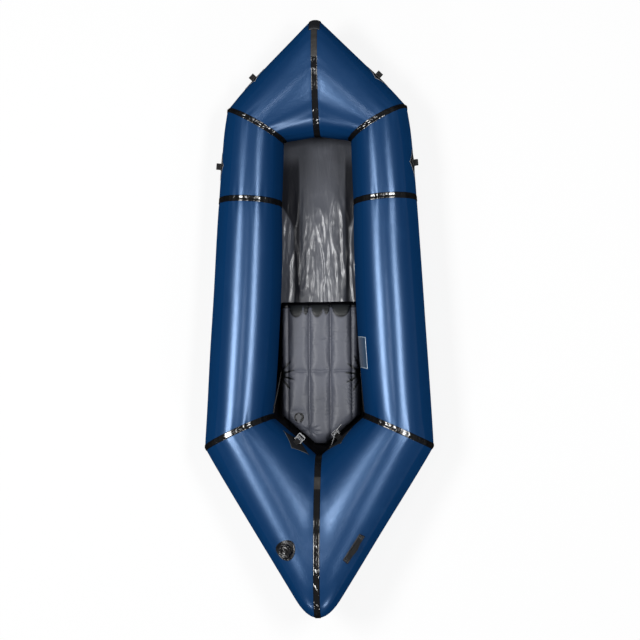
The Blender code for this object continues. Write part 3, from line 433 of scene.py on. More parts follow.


# A pale woven stripe that stands for a glint: a painted highlight
def makeTailGlint():
    material, tree, shader = newMaterial("tailGlintStripe", finish["glintWhite"], 0.55)
    yarns = useGroup(tree, weave, Vector=whereOn(tree, "UV"), Pitch=0.0009, Slant=0.8)
    blendTones(tree, shader, yarns.outputs["Tone"], finish["glintWhite"], finish["glintGrey"])
    addBumps(tree, shader, (yarns.outputs["Height"], 0.0003, 0.8))
    return material


# A blank identity plate: clear film over a dull field inside a pale rim
def makePlateFilm():
    material, tree, shader = newMaterial("plateFilm", finish["plateField"], 0.22)
    shader.inputs["Coat Weight"].default_value = 0.8
    shader.inputs["Coat Roughness"].default_value = 0.05
    edge = mapRange(tree, meshMark(tree, "rim"), 0.92, 0.95)
    blendTones(tree, shader, edge, finish["plateField"], finish["plateRim"], (0.16, 0.30))
    puckers = useGroup(tree, crinkle, Vector=whereOn(tree), Scale=60.0, Stretch=0.5, Fine=0.1)
    addBumps(tree, shader, (puckers.outputs[0], 0.0014, 0.30))
    return material


paint = {
    "tube_fabric": makeTubeFabric(),
    "seam_tape": makeSeamTape(),
    "floor_fabric": makeFloorFabric(),
    "seat_fabric": makeSeatFabric(),
    "patch_fabric": makePatchFabric("patchFabric", finish["rimHighlight"], 0.965),
    "tip_fabric": makePatchFabric("tipFabric", finish["patchBlack"], 2.0),
    "anchor_fabric": makePatchFabric("anchorFabric", finish["anchorRimHighlight"], 0.965),
    "webbing": makeWebbing(),
    "valve_plastic": makeMoulded("valvePlastic", finish["plasticBlack"], 0.20, 0.00005),
    "cap_plastic": makeMoulded("capPlastic", finish["capGrey"], 0.34, 0.00006),
    "buckle_plastic": makeMoulded("bucklePlastic", finish["buckleGrey"], 0.30, 0.00006),
    "buckle_edge": makeMoulded("buckleEdge", finish["edgeHighlight"], 0.30, 0.00004),
    "seal_rubber": makeMoulded("sealRubber", finish["rubber"], 0.6, 0.0001),
    "spring_steel": makeSpringSteel(),
    "thread": makeThread("sewingThread", finish["threadGrey"]),
    "edge_thread": makeThread("edgeThread", finish["threadPale"]),
    "tail_glint": makeTailGlint(),
    "plate": makePlateFilm(),
}
print("materials made")


# ---- mesh helpers

# A mesh from a grid of points (rows, columns, 3); either way round may close on itself
def gridMesh(name, points, material, closeRows=False, closeColumns=False, capRows=False, uv=None, **marks):
    rows, columns = points.shape[:2]
    index = np.arange(rows * columns).reshape(rows, columns)
    high = np.vstack([index, index[:1]]) if closeRows else index
    wide = np.hstack([high, high[:, :1]]) if closeColumns else high
    quads = np.stack([wide[:-1, :-1], wide[:-1, 1:], wide[1:, 1:], wide[1:, :-1]], -1).reshape(-1, 4)
    faces = quads.tolist()
    if capRows:
        faces += [index[0].tolist(), index[-1, ::-1].tolist()]
    mesh = bpy.data.meshes.new(name)
    mesh.from_pydata(points.reshape(-1, 3).tolist(), [], faces)
    if uv is not None:
        layer = mesh.uv_layers.new(name="strip")
        corners = np.stack([uv[:-1, :-1], uv[:-1, 1:], uv[1:, 1:], uv[1:, :-1]], 2).reshape(-1, 2)
        flat = np.zeros((len(mesh.loops), 2))
        flat[:len(corners)] = corners
        layer.data.foreach_set("uv", flat.ravel())
    for label, values in marks.items():
        layer = mesh.attributes.new(label, "FLOAT", "POINT")
        layer.data.foreach_set("value", np.asarray(values, np.float32).ravel())
    return finishMesh(name, mesh, material)


# Rings closed round a section, with both ends capped
def ringMesh(name, rings, material, **more):
    return gridMesh(name, np.array(rings), material, closeColumns=True, capRows=True, **more)


def finishMesh(name, mesh, material):
    bm = bmesh.new()
    bm.from_mesh(mesh)
    bmesh.ops.recalc_face_normals(bm, faces=bm.faces)
    bm.to_mesh(mesh)
    bm.free()
    mesh.shade_smooth()
    mesh.materials.append(paint[material])
    return addObject(name, mesh)


def readPoints(mesh):
    flat = np.empty(len(mesh.vertices) * 3)
    mesh.vertices.foreach_get("co", flat)
    return flat.reshape(-1, 3)


def smoothStep(value, low, high):
    share = np.clip((value - low) / (high - low), 0.0, 1.0)
    return share * share * (3 - 2 * share)


def unit(vectors):
    return vectors / np.maximum(np.linalg.norm(vectors, axis=-1, keepdims=True), 1e-12)


# Even turns once round, without the last, which is the first again
def turnsRound(count):
    return np.linspace(0, tau, count + 1)[:-1]


def crossed(along, around):
    return np.stack(np.meshgrid(along, around, indexing="ij"), -1)


def dress(node, material):
    nodes[node].data.materials.clear()
    nodes[node].data.materials.append(paint[material])


# ---- stitches: short threads set along lines by a node tree

def makeStitchRun():
    tree = bpy.data.node_groups.new("stitchRun", "GeometryNodeTree")
    tree.interface.new_socket("Lines", in_out="INPUT", socket_type="NodeSocketGeometry")
    for label, value in (("Pitch", 0.005), ("Length", 0.0036), ("Width", 0.0006), ("Rise", 0.0006)):
        tree.interface.new_socket(label, in_out="INPUT", socket_type="NodeSocketFloat").default_value = value
    tree.interface.new_socket("Thread", in_out="INPUT", socket_type="NodeSocketMaterial")
    tree.interface.new_socket("Stitches", in_out="OUTPUT", socket_type="NodeSocketGeometry")
    given, made = tree.nodes.new("NodeGroupInput"), tree.nodes.new("NodeGroupOutput")
    curves = addNode(tree, "GeometryNodeMeshToCurve", {0: given.outputs["Lines"]})
    steps = {"Curve": curves.outputs[0], "Length": given.outputs["Pitch"]}
    spaced = addNode(tree, "GeometryNodeResampleCurve", steps, mode="LENGTH")
    bead = addNode(tree, "GeometryNodeMeshUVSphere", {"Segments": 6, "Rings": 4, "Radius": 0.5})
    size = addNode(tree, "ShaderNodeCombineXYZ", {0: given.outputs["Length"], 1: given.outputs["Width"],
                                                  2: given.outputs["Rise"]})
    thread = addNode(tree, "GeometryNodeTransform", {"Geometry": bead.outputs[0], "Scale": size.outputs[0]})
    aim = addNode(tree, "GeometryNodeInputTangent")
    turn = addNode(tree, "FunctionNodeAlignRotationToVector", {"Vector": aim.outputs[0]}, axis="X")
    placed = {"Points": spaced.outputs[0], "Instance": thread.outputs[0], "Rotation": turn.outputs[0]}
    row = addNode(tree, "GeometryNodeInstanceOnPoints", placed)
    whole = addNode(tree, "GeometryNodeRealizeInstances", {0: row.outputs[0]})
    smooth = addNode(tree, "GeometryNodeSetShadeSmooth", {0: whole.outputs[0]})
    spun = {"Geometry": smooth.outputs[0], "Material": given.outputs["Thread"]}
    painted = addNode(tree, "GeometryNodeSetMaterial", spun)
    tree.links.new(painted.outputs[0], made.inputs[0])
    return tree


stitchRun = makeStitchRun()


def socketName(tree, label):
    return next(item.identifier for item in tree.interface.items_tree
                if item.item_type == "SOCKET" and item.in_out == "INPUT" and item.name == label)


# One plain mesh of stitches along some lines of points
def addStitches(name, lines, pitch, length, width, rise=None, material="thread"):
    guide = bpy.data.meshes.new(name + "_guide")
    points, edges = [], []
    for line in lines:
        start = len(points)
        points += [tuple(point) for point in np.asarray(line)]
        edges += [(here, here + 1) for here in range(start, len(points) - 1)]
    guide.from_pydata(points, edges, [])
    holder = addObject(name + "_holder", guide)
    run = holder.modifiers.new("stitches", "NODES")
    run.node_group = stitchRun
    for label, value in (("Pitch", pitch), ("Length", length), ("Width", width), ("Rise", rise or width),
                         ("Thread", paint[material])):
        run[socketName(stitchRun, label)] = value
    graph = bpy.context.evaluated_depsgraph_get()
    mesh = bpy.data.meshes.new_from_object(holder.evaluated_get(graph))
    mesh.name = name
    bpy.data.objects.remove(holder)
    return addObject(name, mesh)


# ---- the air tube's surface, from the same sizes as the solids

hull = {
    "bow": {"inner": (0.0, 0.7445), "outer": (0.0, 1.212), "half": 0.135, "kick": 0.080},
    "bowShoulder": {"inner": (0.139, 0.724), "outer": (0.379, 0.8615), "half": 0.132, "kick": 0.0},
    "side": {"inner": (0.1475, 0.4605), "outer": (0.4085, 0.4765), "half": 0.134, "kick": 0.0},
    "sternShoulder": {"inner": (0.187, -0.4125), "outer": (0.465, -0.5385), "half": 0.1445, "kick": 0.0},
    "stern": {"inner": (0.0, -0.5675), "outer": (0.0, -1.2135), "half": 0.150, "kick": 0.120},
    "restHeight": 0.0024,
    "bowTipEase": 0.034,
    "sternTipEase": 0.090,
    "vertexEase": 0.020,
    "wall": 0.0012,
    "belly": 0.0115,
    "ribPoints": 28,
}

relief = {
    "pinch": 0.0018,  # how far each seam draws the fabric in
    "pinchReach": 0.030,
    "pucker": 0.0007,
    "puckerReach": 0.050,
    "sway": 0.00084,  # slow unevenness of the whole skin
    "shoulder": 0.006,  # the outer side draws in at the bow shoulders
    "shoulderReach": 0.075,
    # Round the moulded parts the skin lies as the solids have it
    "still": ((-0.1202, -0.9467, 0.3138), (-0.0891, -0.52, 0.1952), (0.0767, -0.4995, 0.1500)),
    "stillReach": 0.045,
}


def ribOffset(rib, angle):
    along = np.cos(angle)
    reach = (np.array(rib["outer"]) - np.array(rib["inner"])) / 2
    rise = rib["half"] * np.sin(angle) + rib["kick"] * ((1 + along) / 2) ** 2
    return np.stack([reach[0] * along, reach[1] * along, rise], -1)


def ribPoint(rib, angle):
    lowest = ribOffset(rib, turnsRound(hull["ribPoints"]))[:, 2].min()
    middle = (np.array(rib["outer"]) + np.array(rib["inner"])) / 2
    return np.array([middle[0], middle[1], hull["restHeight"] - lowest]) + ribOffset(rib, angle)


def makePanel(near, far, side, tipEase, seams, belly=0.0):
    return {"near": hull[near], "far": hull[far], "side": side, "tipEase": tipEase, "seams": seams,
            "belly": belly}


# A point on a panel: share runs from its near rib to its far one, angle from outside over the top to inside
def tubePoint(panel, share, angle):
    share, angle = np.broadcast_arrays(np.asarray(share, float), np.asarray(angle, float))
    near = ribPoint(panel["near"], angle)
    far = ribPoint(panel["far"], angle)
    if panel["tipEase"] is None:
        point = near + (far - near) * share[..., None]
        point[..., 0] -= panel["belly"] * 4 * share * (1 - share) * (1 - np.cos(angle)) / 2
        return point * np.array([panel["side"], 1.0, 1.0])
    outwards = (1 + np.cos(angle)) / 2
    ease = hull["vertexEase"] + (panel["tipEase"] - hull["vertexEase"]) * outwards
    reach = far[..., 0]
    fold = (ease / 2 / reach)[..., None]
    sharp = (near - far * fold) / (1 - fold)
    out = share * reach
    blunt = np.where(np.abs(out) >= ease, np.abs(out), out * out / (2 * ease) + ease / 2)
    point = sharp + (far - sharp) * (blunt / reach)[..., None]
    point[..., 0] = panel["side"] * out
    return point


def tubeRun(panel, angle):
    return np.linalg.norm(ribPoint(panel["far"], angle) - ribPoint(panel["near"], angle), axis=-1)


# How the skin moves with share and with angle at a place, and its direction outwards
def tubeAxes(panel, share, angle):
    step = 0.001
    byShare = (tubePoint(panel, share + step, angle) - tubePoint(panel, share - step, angle)) / (2 * step)
    byAngle = (tubePoint(panel, share, angle + step) - tubePoint(panel, share, angle - step)) / (2 * step)
    out = unit(np.cross(byShare, byAngle))
    middle = (tubePoint(panel, share, angle) + tubePoint(panel, share, angle + math.pi)) / 2
    inwards = (out * (tubePoint(panel, share, angle) - middle)).sum(-1, keepdims=True) < 0
    out = np.where(inwards, -out, out)
    return byShare, byAngle, out


def skinRelief(panel, share, angle, point):
    run = tubeRun(panel, angle)
    total = np.zeros(point.shape[:-1])
    away = (np.abs(share) * run, np.abs(1 - share) * run)
    for distance, seed in zip(away, panel["seams"]):
        total -= relief["pinch"] * np.exp(-distance / relief["pinchReach"])
        folds = np.sin(13 * angle + seed) + 0.7 * np.sin(21 * angle + 2.3 * seed)
        folds = folds + 0.5 * np.sin(34 * angle + 4 * seed)
        total += relief["pucker"] * folds * np.exp(-distance / relief["puckerReach"])
    for distance, rib in zip(away, (panel["near"], panel["far"])):
        if rib is hull["bowShoulder"]:
            nearness = np.exp(-(distance / relief["shoulderReach"]) ** 2)
            total -= relief["shoulder"] * nearness * (0.5 + 0.5 * np.cos(angle)) ** 2
    x, y, z = point[..., 0], point[..., 1], point[..., 2]
    slow = np.sin(7.1 * x + 5.3 * y + 1.0) * np.sin(6.2 * y - 4.1 * z + 0.4)
    slow = slow + 0.6 * np.sin(13 * y + 9 * x + 11 * z)
    total += relief["sway"] * slow
    for centre in relief["still"]:
        distance = np.linalg.norm(point - np.array(centre), axis=-1)
        total *= 1 - np.exp(-(distance / relief["stillReach"]) ** 4)
    return total


# The dressed skin: the smooth tube with its relief, lifted by a patch or tape that lies on it
def skinPoint(panel, share, angle, lift=0.0):
    share, angle = np.broadcast_arrays(np.asarray(share, float), np.asarray(angle, float))
    point = tubePoint(panel, share, angle)
    out = tubeAxes(panel, share, angle)[2]
    return point + out * (skinRelief(panel, share, angle, point) + lift)[..., None], out


panels = {}
for sideName, sideSign in (("port", -1), ("starboard", 1)):
    foreSeed = 1.7 + sideSign
    sideSeed, aftSeed = foreSeed + 1.3, foreSeed + 2.9
    for part, near, far, *rest in (
            ("bow", "bow", "bowShoulder", hull["bowTipEase"], (0.4, foreSeed)),
            ("fore", "bowShoulder", "side", None, (foreSeed, sideSeed)),
            ("aft", "side", "sternShoulder", None, (sideSeed, aftSeed), hull["belly"]),
            ("stern", "stern", "sternShoulder", hull["sternTipEase"], (0.9, aftSeed))):
        panels[part, sideName] = makePanel(near, far, sideSign, *rest)


# ---- panels

panelMesh = {
    "round": 128,  # faces round the tube
    "fine": 0.005,  # step beside a seam
    "coarse": 0.016,  # step between seams
    "seamZone": 0.07,
}


def stationsAlong(length):
    places = [0.0]
    while places[-1] < length / 2:
        share = min(places[-1] / panelMesh["seamZone"], 1.0)
        places.append(places[-1] + panelMesh["fine"] + (panelMesh["coarse"] - panelMesh["fine"]) * share)
    half = np.array(places) / places[-1] / 2
    return np.concatenate([half, 1 - half[-2::-1]])


def addPanel(part, side):
    panel = panels[part, side]
    angles = turnsRound(panelMesh["round"])
    shares = stationsAlong(tubeRun(panel, np.array([math.pi / 2]))[0])
    outside, out = skinPoint(panel, shares[:, None], angles[None, :])
    inside = outside - out * hull["wall"]
    points = np.concatenate([outside, inside[::-1]])
    lengths = shares * tubeRun(panel, angles[:1])[0]
    around = np.linspace(0, tau * panel["far"]["half"], len(angles) + 1)
    uv = crossed(np.concatenate([lengths, lengths[::-1], lengths[:1]]), around)
    name = part + "_panel_" + side
    piece = gridMesh("skin_" + name, points, "tube_fabric", closeRows=True, closeColumns=True, uv=uv)
    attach(piece, "hull")
    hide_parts(name)


for part, side in panels:
    addPanel(part, side)
print("air tube panels made")


# ---- seam tapes

tape = {
    "width": 0.025,
    "centreWidth": 0.026,
    "lift": 0.0003,
    "thickness": 0.0007,
    "crinkle": 0.00045,
    "crumpled": 1.6,  # how much deeper the crinkles are on the stern centre tape
    "girth": 5.8,  # length round the tube, in half heights
    "stepAround": 0.0028,
    "across": 13,
    "under": 0.0001,
    "edgeRound": 0.0016,
    "blend": 0.008,  # from the seam to where the tape stands square to its own panel
    # Where the centre tapes turn greyer and matte, from and to along y
    "mattePlaces": ((1.045, 1.30), (-0.705, -0.655)),
}


# Ridges that run across a tape at uneven distances along it
def tapeCrinkle(along, across, seed, depth):
    drift = 0.004 * np.sin(across * 180 + seed) + 0.5 * across
    place = along + drift
    waves = np.sin(place * 310 + seed) * np.sin(place * 97 + 2 * seed) + 0.6 * np.sin(place * 560 + 5 * seed)
    patchy = 0.5 + 0.5 * np.sin(place * 23 + 3 * seed)
    return depth * waves * patchy ** 1.5


def tapePoints(ends, width, columns):
    spread = np.linspace(-0.5, 0.5, tape["across"]) * width
    angles = turnsRound(columns)
    shared = unit(sum(tubeAxes(panel, np.full(columns, float(at)), angles)[2] for panel, at in ends))
    rows, outs = [], []
    for place in spread:
        panel, at = ends[0 if place < 0 else 1]
        if panel["tipEase"] is not None and at == 0:
            share = abs(place) / ribPoint(panel["far"], angles)[:, 0]
        else:
            share = np.abs(at - abs(place) / tubeRun(panel, angles))
        base, out = skinPoint(panel, share, angles)
        keep = min(abs(place) / tape["blend"], 1.0)
        rows.append(base)
        outs.append(unit(out * keep + shared * (1 - keep)))
    return np.array(rows), np.array(outs), spread, angles


# A tape over the seam between two panels: ends is each panel and its share there, 0 or 1
def addTape(name, ends, width, seed):
    panel, at = ends[0]
    girth = tape["girth"] * panel["far" if at else "near"]["half"]
    columns = int(girth / tape["stepAround"])
    base, out, spread, angles = tapePoints(ends, width, columns)
    along = angles[None, :] * girth / tau
    across = spread[:, None]
    edge = np.clip((width / 2 - np.abs(across)) / tape["edgeRound"], 0.0, 1.0) ** 0.5
    depth = tape["crinkle"] * (1 + tape["crumpled"] * smoothStep(-base[..., 1], 0.70, 0.80))
    high = tape["lift"] + edge * (tape["thickness"] + tapeCrinkle(along, across, seed, depth) + depth)
    points = np.concatenate([base + out * high[..., None], (base + out * tape["under"])[::-1]])
    acrossLine = np.concatenate([spread, spread[::-1], spread[:1]])
    uv = crossed(acrossLine, np.linspace(0, girth, columns + 1))[..., ::-1]
    y = points[..., 1]
    dull = sum(smoothStep(y, start - 0.006, start + 0.006) * smoothStep(-y, -end, 0.01 - end)
               for start, end in tape["mattePlaces"])
    piece = gridMesh("glued_" + name, points, "seam_tape", closeRows=True, closeColumns=True, uv=uv,
                     dull=dull)
    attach(piece, "hull")
    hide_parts(name)


for side in ("port", "starboard"):
    for name, first, firstAt, second, secondAt, seed in (
            ("bow_shoulder_tape_", "bow", 1, "fore", 0, 1.1),
            ("side_seam_tape_", "fore", 1, "aft", 0, 2.7),
            ("stern_shoulder_tape_", "aft", 1, "stern", 1, 4.2)):
        ends = ((panels[first, side], firstAt), (panels[second, side], secondAt))
        addTape(name + side, ends, tape["width"], seed)
for end, seed in (("bow", 0.3), ("stern", 5.9)):
    ends = ((panels[end, "port"], 0), (panels[end, "starboard"], 0))
    addTape(end + "_centre_tape", ends, tape["centreWidth"], seed)
print("seam tapes made")


# ---- places on the skin

def makeSpot(part, side, share, angle):
    panel = panels[part, side]
    byShare, byAngle, out = tubeAxes(panel, np.array(share), np.array(angle))
    around = unit(byAngle - byShare * (byAngle @ byShare) / (byShare @ byShare))
    along = np.cross(around, out)
    return {"panel": panel, "share": share, "angle": angle, "run": byShare @ along,
            "girth": byAngle @ around, "shear": byAngle @ along, "axes": (along, around, out)}


# Points on the skin at lengths along the panel, round it and outwards from a spot
def draped(spot, along, around, lift=0.0):
    turn = np.asarray(around, float) / spot["girth"]
    share = spot["share"] + (along - spot["shear"] * turn) / spot["run"]
    return skinPoint(spot["panel"], share, spot["angle"] + turn, lift)[0]


def spotFrame(spot, lift):
    panel, share, angle = spot["panel"], np.array(spot["share"]), np.array(spot["angle"])
    origin = tubePoint(panel, share, angle) + spot["axes"][2] * lift
    turn = Matrix([list(axis) for axis in spot["axes"]]).transposed().to_4x4()
    return Matrix.Translation(Vector(origin)) @ turn


# ---- patches

patch = {
    "gap": 0.0008,
    "thickness": 0.0010,
    "tieLength": 0.120,
    "tieWidth": 0.084,
    "tieHollow": 0.82,
    "tieAngle": math.radians(13),
    "bowTieShare": 0.675,
    "sideTieShare": 0.63,
    "anchorLength": 0.150,
    "anchorWidth": 0.090,
    "anchorShare": 0.45,
    "anchorAngle": {"port": math.radians(157), "starboard": math.radians(169)},
    "under": 0.0003,
    "least": 0.0002,
    "rings": 14,
    "sides": 72,
}


def diamond(length, width):
    turns = turnsRound(patch["sides"])
    side, rise = np.cos(turns), np.sin(turns)
    hollow = patch["tieHollow"]
    spread = (np.abs(side) ** hollow + np.abs(rise) ** hollow) ** (-1 / hollow)
    blunt = 1 - 0.035 * np.maximum(np.abs(side), np.abs(rise)) ** 30
    return np.stack([length / 2 * side * spread * blunt, width / 2 * rise * spread * blunt], -1)


def oblong(length, width, corner):
    turns = turnsRound(patch["sides"])
    side = np.where(np.cos(turns) >= 0, 1, -1) * (length / 2 - corner)
    rise = np.where(np.sin(turns) >= 0, 1, -1) * (width / 2 - corner)
    return np.stack([side + corner * np.cos(turns), rise + corner * np.sin(turns)], -1)


def addPatch(name, spot, outline, material="patch_fabric"):
    shares = np.linspace(0.03, 1.0, patch["rings"])
    rings, rims = [], []
    for lift, order in ((patch["under"], shares), (patch["gap"] + patch["thickness"], shares[::-1])):
        for share in order:
            edge = 0.4 * patch["thickness"] * share ** 24
            rings.append(draped(spot, *outline.T * share, max(lift - edge, patch["least"])))
            rims.append(np.full(len(outline), share))
    piece = ringMesh("cloth_" + name, rings, material, rim=rims)
    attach(piece, "hull")
    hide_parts(name)


# ---- webbing

strap = {
    "across": 10,
    "step": 0.0016,
    "edgeRound": 0.35,  # share of the thickness lost at the selvedge
}


def lengthsAlong(line):
    return np.concatenate([[0.0], np.cumsum(np.linalg.norm(np.diff(line, axis=0), axis=1))])


# Evenly spaced points along a bent path, its corners softened
def smoothPath(path, step, passes=2):
    line = np.array(path, float)
    for _ in range(passes):
        first = line[:-1] * 0.75 + line[1:] * 0.25
        second = line[:-1] * 0.25 + line[1:] * 0.75
        line = np.concatenate([line[:1], np.stack([first, second], 1).reshape(-1, line.shape[1]), line[-1:]])
    lengths = lengthsAlong(line)
    places = np.linspace(0, lengths[-1], max(int(lengths[-1] / step), 4))
    return np.stack([np.interp(places, lengths, axis) for axis in line.T], -1), places


# Round the section of a band: its lower face (-1) and back over the upper (1), with the place across and how
# much of the thickness is left there
def bandSection():
    spread = np.linspace(-0.5, 0.5, strap["across"])
    thin = 1 - strap["edgeRound"] * np.abs(2 * spread) ** 8
    lower = list(zip(spread, thin))
    return [(-1, *place) for place in lower] + [(1, *place) for place in lower[::-1]]


def bandGrid(name, rows, lengths, width, material="webbing"):
    places = [section[1] * width for section in bandSection()]
    uv = crossed(lengths, places + places[:1])
    return ringMesh(name, np.stack(rows, 1), material, uv=uv)


# A woven band as rings round its section: where gives a point for (place, lift, across)
def bandMesh(name, path, width, thickness, where, material="webbing"):
    line, lengths = smoothPath(path, strap["step"])
    aims = unit(np.gradient(line, axis=0))
    sides = np.stack([-aims[:, 1], aims[:, 0]], -1) * thickness / 2
    rows = []
    for face, share, fat in bandSection():
        at = line + sides * face * fat
        rows.append(where(*at.T, np.full(len(at), share * width)))
    return bandGrid(name, rows, lengths, width, material)


def addBand(name, spot, path, width, thickness, crosswise=False, body="hull"):
    def where(place, lift, across):
        along, around = (place, across) if crosswise else (across, place)
        return draped(spot, along, around, lift)
    piece = bandMesh("woven_" + name, path, width, thickness, where)
    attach(piece, body)
    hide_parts(name)


# ---- sewing on the webbing

sewing = {"pitch": 0.0034, "length": 0.0026, "width": 0.0007, "inset": 0.0025, "lift": 0.0001, "lines": []}


# A sewn box with a cross in it, on a band that lies flat on the skin
def sewBox(spot, corners, lift):
    (fromAlong, toAlong), (fromAround, toAround) = corners
    box = [(fromAlong, fromAround), (toAlong, fromAround), (toAlong, toAround), (fromAlong, toAround)]
    for way in (box + box[:1], box[::2], box[:0:-2]):
        line = np.concatenate([np.linspace(start, end, 9) for start, end in zip(way[:-1], way[1:])])
        sewing["lines"].append(draped(spot, *line.T, lift))


# ---- tie-downs

loop = {
    "width": 0.025, "thickness": 0.0016, "height": 0.021, "radius": 0.0045, "foot": 0.011, "floor": 0.0029,
    "sewn": (0.004, 0.010),
}


def loopPath(floor):
    radius, height, foot = loop["radius"], loop["height"], loop["foot"]
    path = [(-radius - foot, floor), (-radius - foot / 2, floor), (-radius - foot / 8, floor + foot / 12)]
    path += [(-radius, floor + foot / 3), (-radius, (floor + height - radius) / 2 + foot / 6)]
    turns = [math.pi * (1 - step / 12) for step in range(13)]
    path += [(radius * math.cos(turn), height - radius + radius * math.sin(turn)) for turn in turns]
    return path + [(-place, lift) for place, lift in path[4::-1]]


spots = {}
for side in ("port", "starboard"):
    spots["bow_tie_down_" + side] = makeSpot("bow", side, patch["bowTieShare"], patch["tieAngle"])
    spots["side_tie_down_" + side] = makeSpot("fore", side, patch["sideTieShare"], patch["tieAngle"])
    spots["anchor_" + side] = makeSpot("stern", side, patch["anchorShare"], patch["anchorAngle"][side])
for name in [key for key in spots if "tie_down" in key]:
    addPatch(name + "_patch", spots[name], diamond(patch["tieLength"], patch["tieWidth"]))
    addBand(name + "_loop", spots[name], loopPath(loop["floor"]), loop["width"], loop["thickness"])
    half = loop["width"] / 2 - sewing["inset"]
    for way in (-1, 1):
        ends = [way * (loop["radius"] + place) for place in loop["sewn"]]
        sewBox(spots[name], ((-half, half), ends), loop["floor"] + loop["thickness"] / 2 + sewing["lift"])


# ---- stern anchors

anchor = {
    "webThickness": 0.0012,
    "webWidth": 0.0224,
    "foot": 0.013,
    "room": 0.0003,
    "ringRoom": 0.0004,
    "opening": math.radians(50),
    "drop": {"port": 0.0, "starboard": 0.018},
    "stand": {"port": 0.0135, "starboard": 0.020},
    "tailPath": (-0.052, -0.041, 0.046, 0.040),
    "tailFloor": 0.0033,
    "tailWidth": 0.020,
    "glintWidth": 0.0090,
    "glintRise": 0.0010,
}


def addAnchor(side):
    spot = spots["anchor_" + side]
    addPatch("anchor_patch_" + side, spot, diamond(patch["anchorLength"], patch["anchorWidth"]),
             "anchor_fabric" if side == "port" else "tip_fabric")
    lower = makeSpot("stern", side, spot["share"], spot["angle"] + anchor["drop"][side] / spot["girth"])
    spots["anchor_lower_" + side] = lower
    stand = anchor["stand"][side]
    floor = patch["gap"] + patch["thickness"] + anchor["room"] + anchor["webThickness"] / 2
    ring = math.hypot(buckle["bar"], buckle["thickness"]) / 2 + anchor["ringRoom"]
    ring += anchor["webThickness"] / 2
    neck = anchor["webThickness"] / 2 + anchor["room"]
    path = [(-anchor["foot"], floor), (-anchor["foot"] / 2, floor), (-neck - ring / 2, floor)]
    path += [(-neck, floor + ring / 2), (-neck, stand - 1.6 * ring)]
    opening = anchor["opening"]
    turns = [-math.pi / 2 - opening - (tau - 2 * opening) * step / 18 for step in range(19)]
    path += [(ring * math.cos(turn), stand + ring * math.sin(turn)) for turn in turns]
    path += [(-place, lift) for place, lift in path[4::-1]]
    addBand("anchor_webbing_" + side, lower, path, anchor["webWidth"], anchor["webThickness"])


# A pale stripe down the middle of the free tail: a painted highlight standing for the glint along the glossy
# tail
def addTail(spot):
    start, rise, end, height = anchor["tailPath"]
    floor = anchor["tailFloor"]
    path = [(start, floor), (rise, floor)]
    for share in np.linspace(0, 1, 9)[1:]:
        path.append((rise + (end - rise) * share, floor + (height - floor) * math.sin(math.pi / 2 * share)))
    addBand("anchor_tail", spot, path, anchor["tailWidth"], anchor["webThickness"], crosswise=True)
    thickness = anchor["webThickness"] + anchor["glintRise"]
    tail_glint = bandMesh("tail_glint_stripe", path[1:], anchor["glintWidth"], thickness,
                      lambda place, lift, across: draped(spot, place, across, lift), "tail_glint")
    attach(tail_glint, "hull")


# A round bead along a closed line of points, standing on a face that looks along up
def beadLoop(points, up, radius):
    aims = unit(np.roll(points, -1, axis=0) - np.roll(points, 1, axis=0))
    sides = unit(np.cross(aims, up))
    rings = [points + radius * (sides * math.cos(turn) + up * math.sin(turn)) for turn in turnsRound(6)]
    return np.stack(rings, 1)


buckle = {
    "length": 0.036, "width": 0.032, "thickness": 0.0044, "bar": 0.0044, "rail": 0.0036, "slot": 0.0085,
    "midBar": 0.0042, "gripSlot": 0.0065, "gripRise": 0.0022, "corner": 0.003, "side": 0.0004,
    "waist": (0.0014, 0.0010),
    "bead": (0.0009, 0.00055, 0.00055),
    "lean": {"port": 0.0, "starboard": math.radians(-70)},
}


# Bright beads round the frame and both slots of a ladder lock, their pale colour a painted highlight of the
# glossy edges
def addBuckleEdges(side):
    half, deck, bar = buckle["width"] / 2, buckle["thickness"] / 2, buckle["bar"] / 2
    front = buckle["length"] - bar
    firstEnd = bar + buckle["slot"]
    secondStart = firstEnd + buckle["midBar"]
    secondEnd = secondStart + buckle["gripSlot"]
    inner = half - buckle["rail"]
    corner, flank = buckle["corner"], half - buckle["side"]
    waist, shoulder = buckle["waist"]
    outer = [(half - corner, -bar), (flank, corner / 2 - bar), (half - waist, firstEnd), (flank, secondEnd),
             (half - shoulder, front - corner / 2), (half - corner, front)]
    loops = [outer + [(-x, y) for x, y in outer[::-1]]]
    loops += [[(-inner, low), (inner, low), (inner, high), (-inner, high)]
              for low, high in ((bar, firstEnd), (secondStart, secondEnd))]
    lean = Matrix.Rotation(math.pi / 2 + buckle["lean"][side], 4, "X")
    turn = spotFrame(spots["anchor_lower_" + side], anchor["stand"][side]) @ lean
    rings = []
    for face in (-1, 1):
        for loopHere, bead in zip(loops, buckle["bead"]):
            ends = zip(loopHere, loopHere[1:] + loopHere[:1])
            line = np.concatenate([np.linspace(start, end, 6)[:-1] for start, end in ends])
            rise = buckle["gripRise"] * smoothStep(line[:, 1], firstEnd, front - corner / 2)
            flat = np.column_stack([line, face * deck + rise])
            rings.append(beadLoop(flat, np.array([0.0, 0.0, 1.0]), bead))
    mesh = bpy.data.meshes.new("buckle_edges_" + side)
    points, faces = [], []
    for ring in rings:
        rows, columns = ring.shape[:2]
        index = np.arange(rows * columns).reshape(rows, columns) + len(points)
        points += ring.reshape(-1, 3).tolist()
        around, along = np.roll(index, -1, axis=1), np.roll(index, -1, axis=0)
        faces += np.stack([index, around, np.roll(along, -1, axis=1), along], -1).reshape(-1, 4).tolist()
    mesh.from_pydata(points, [], faces)
    piece = finishMesh("buckle_edges_" + side, mesh, "buckle_edge")
    piece.data.transform(turn)
    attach(piece, "buckle_" + side + "_body")


for side in ("port", "starboard"):
    addAnchor(side)
    addBuckleEdges(side)
addTail(spots["anchor_starboard"])


# ---- grab handle

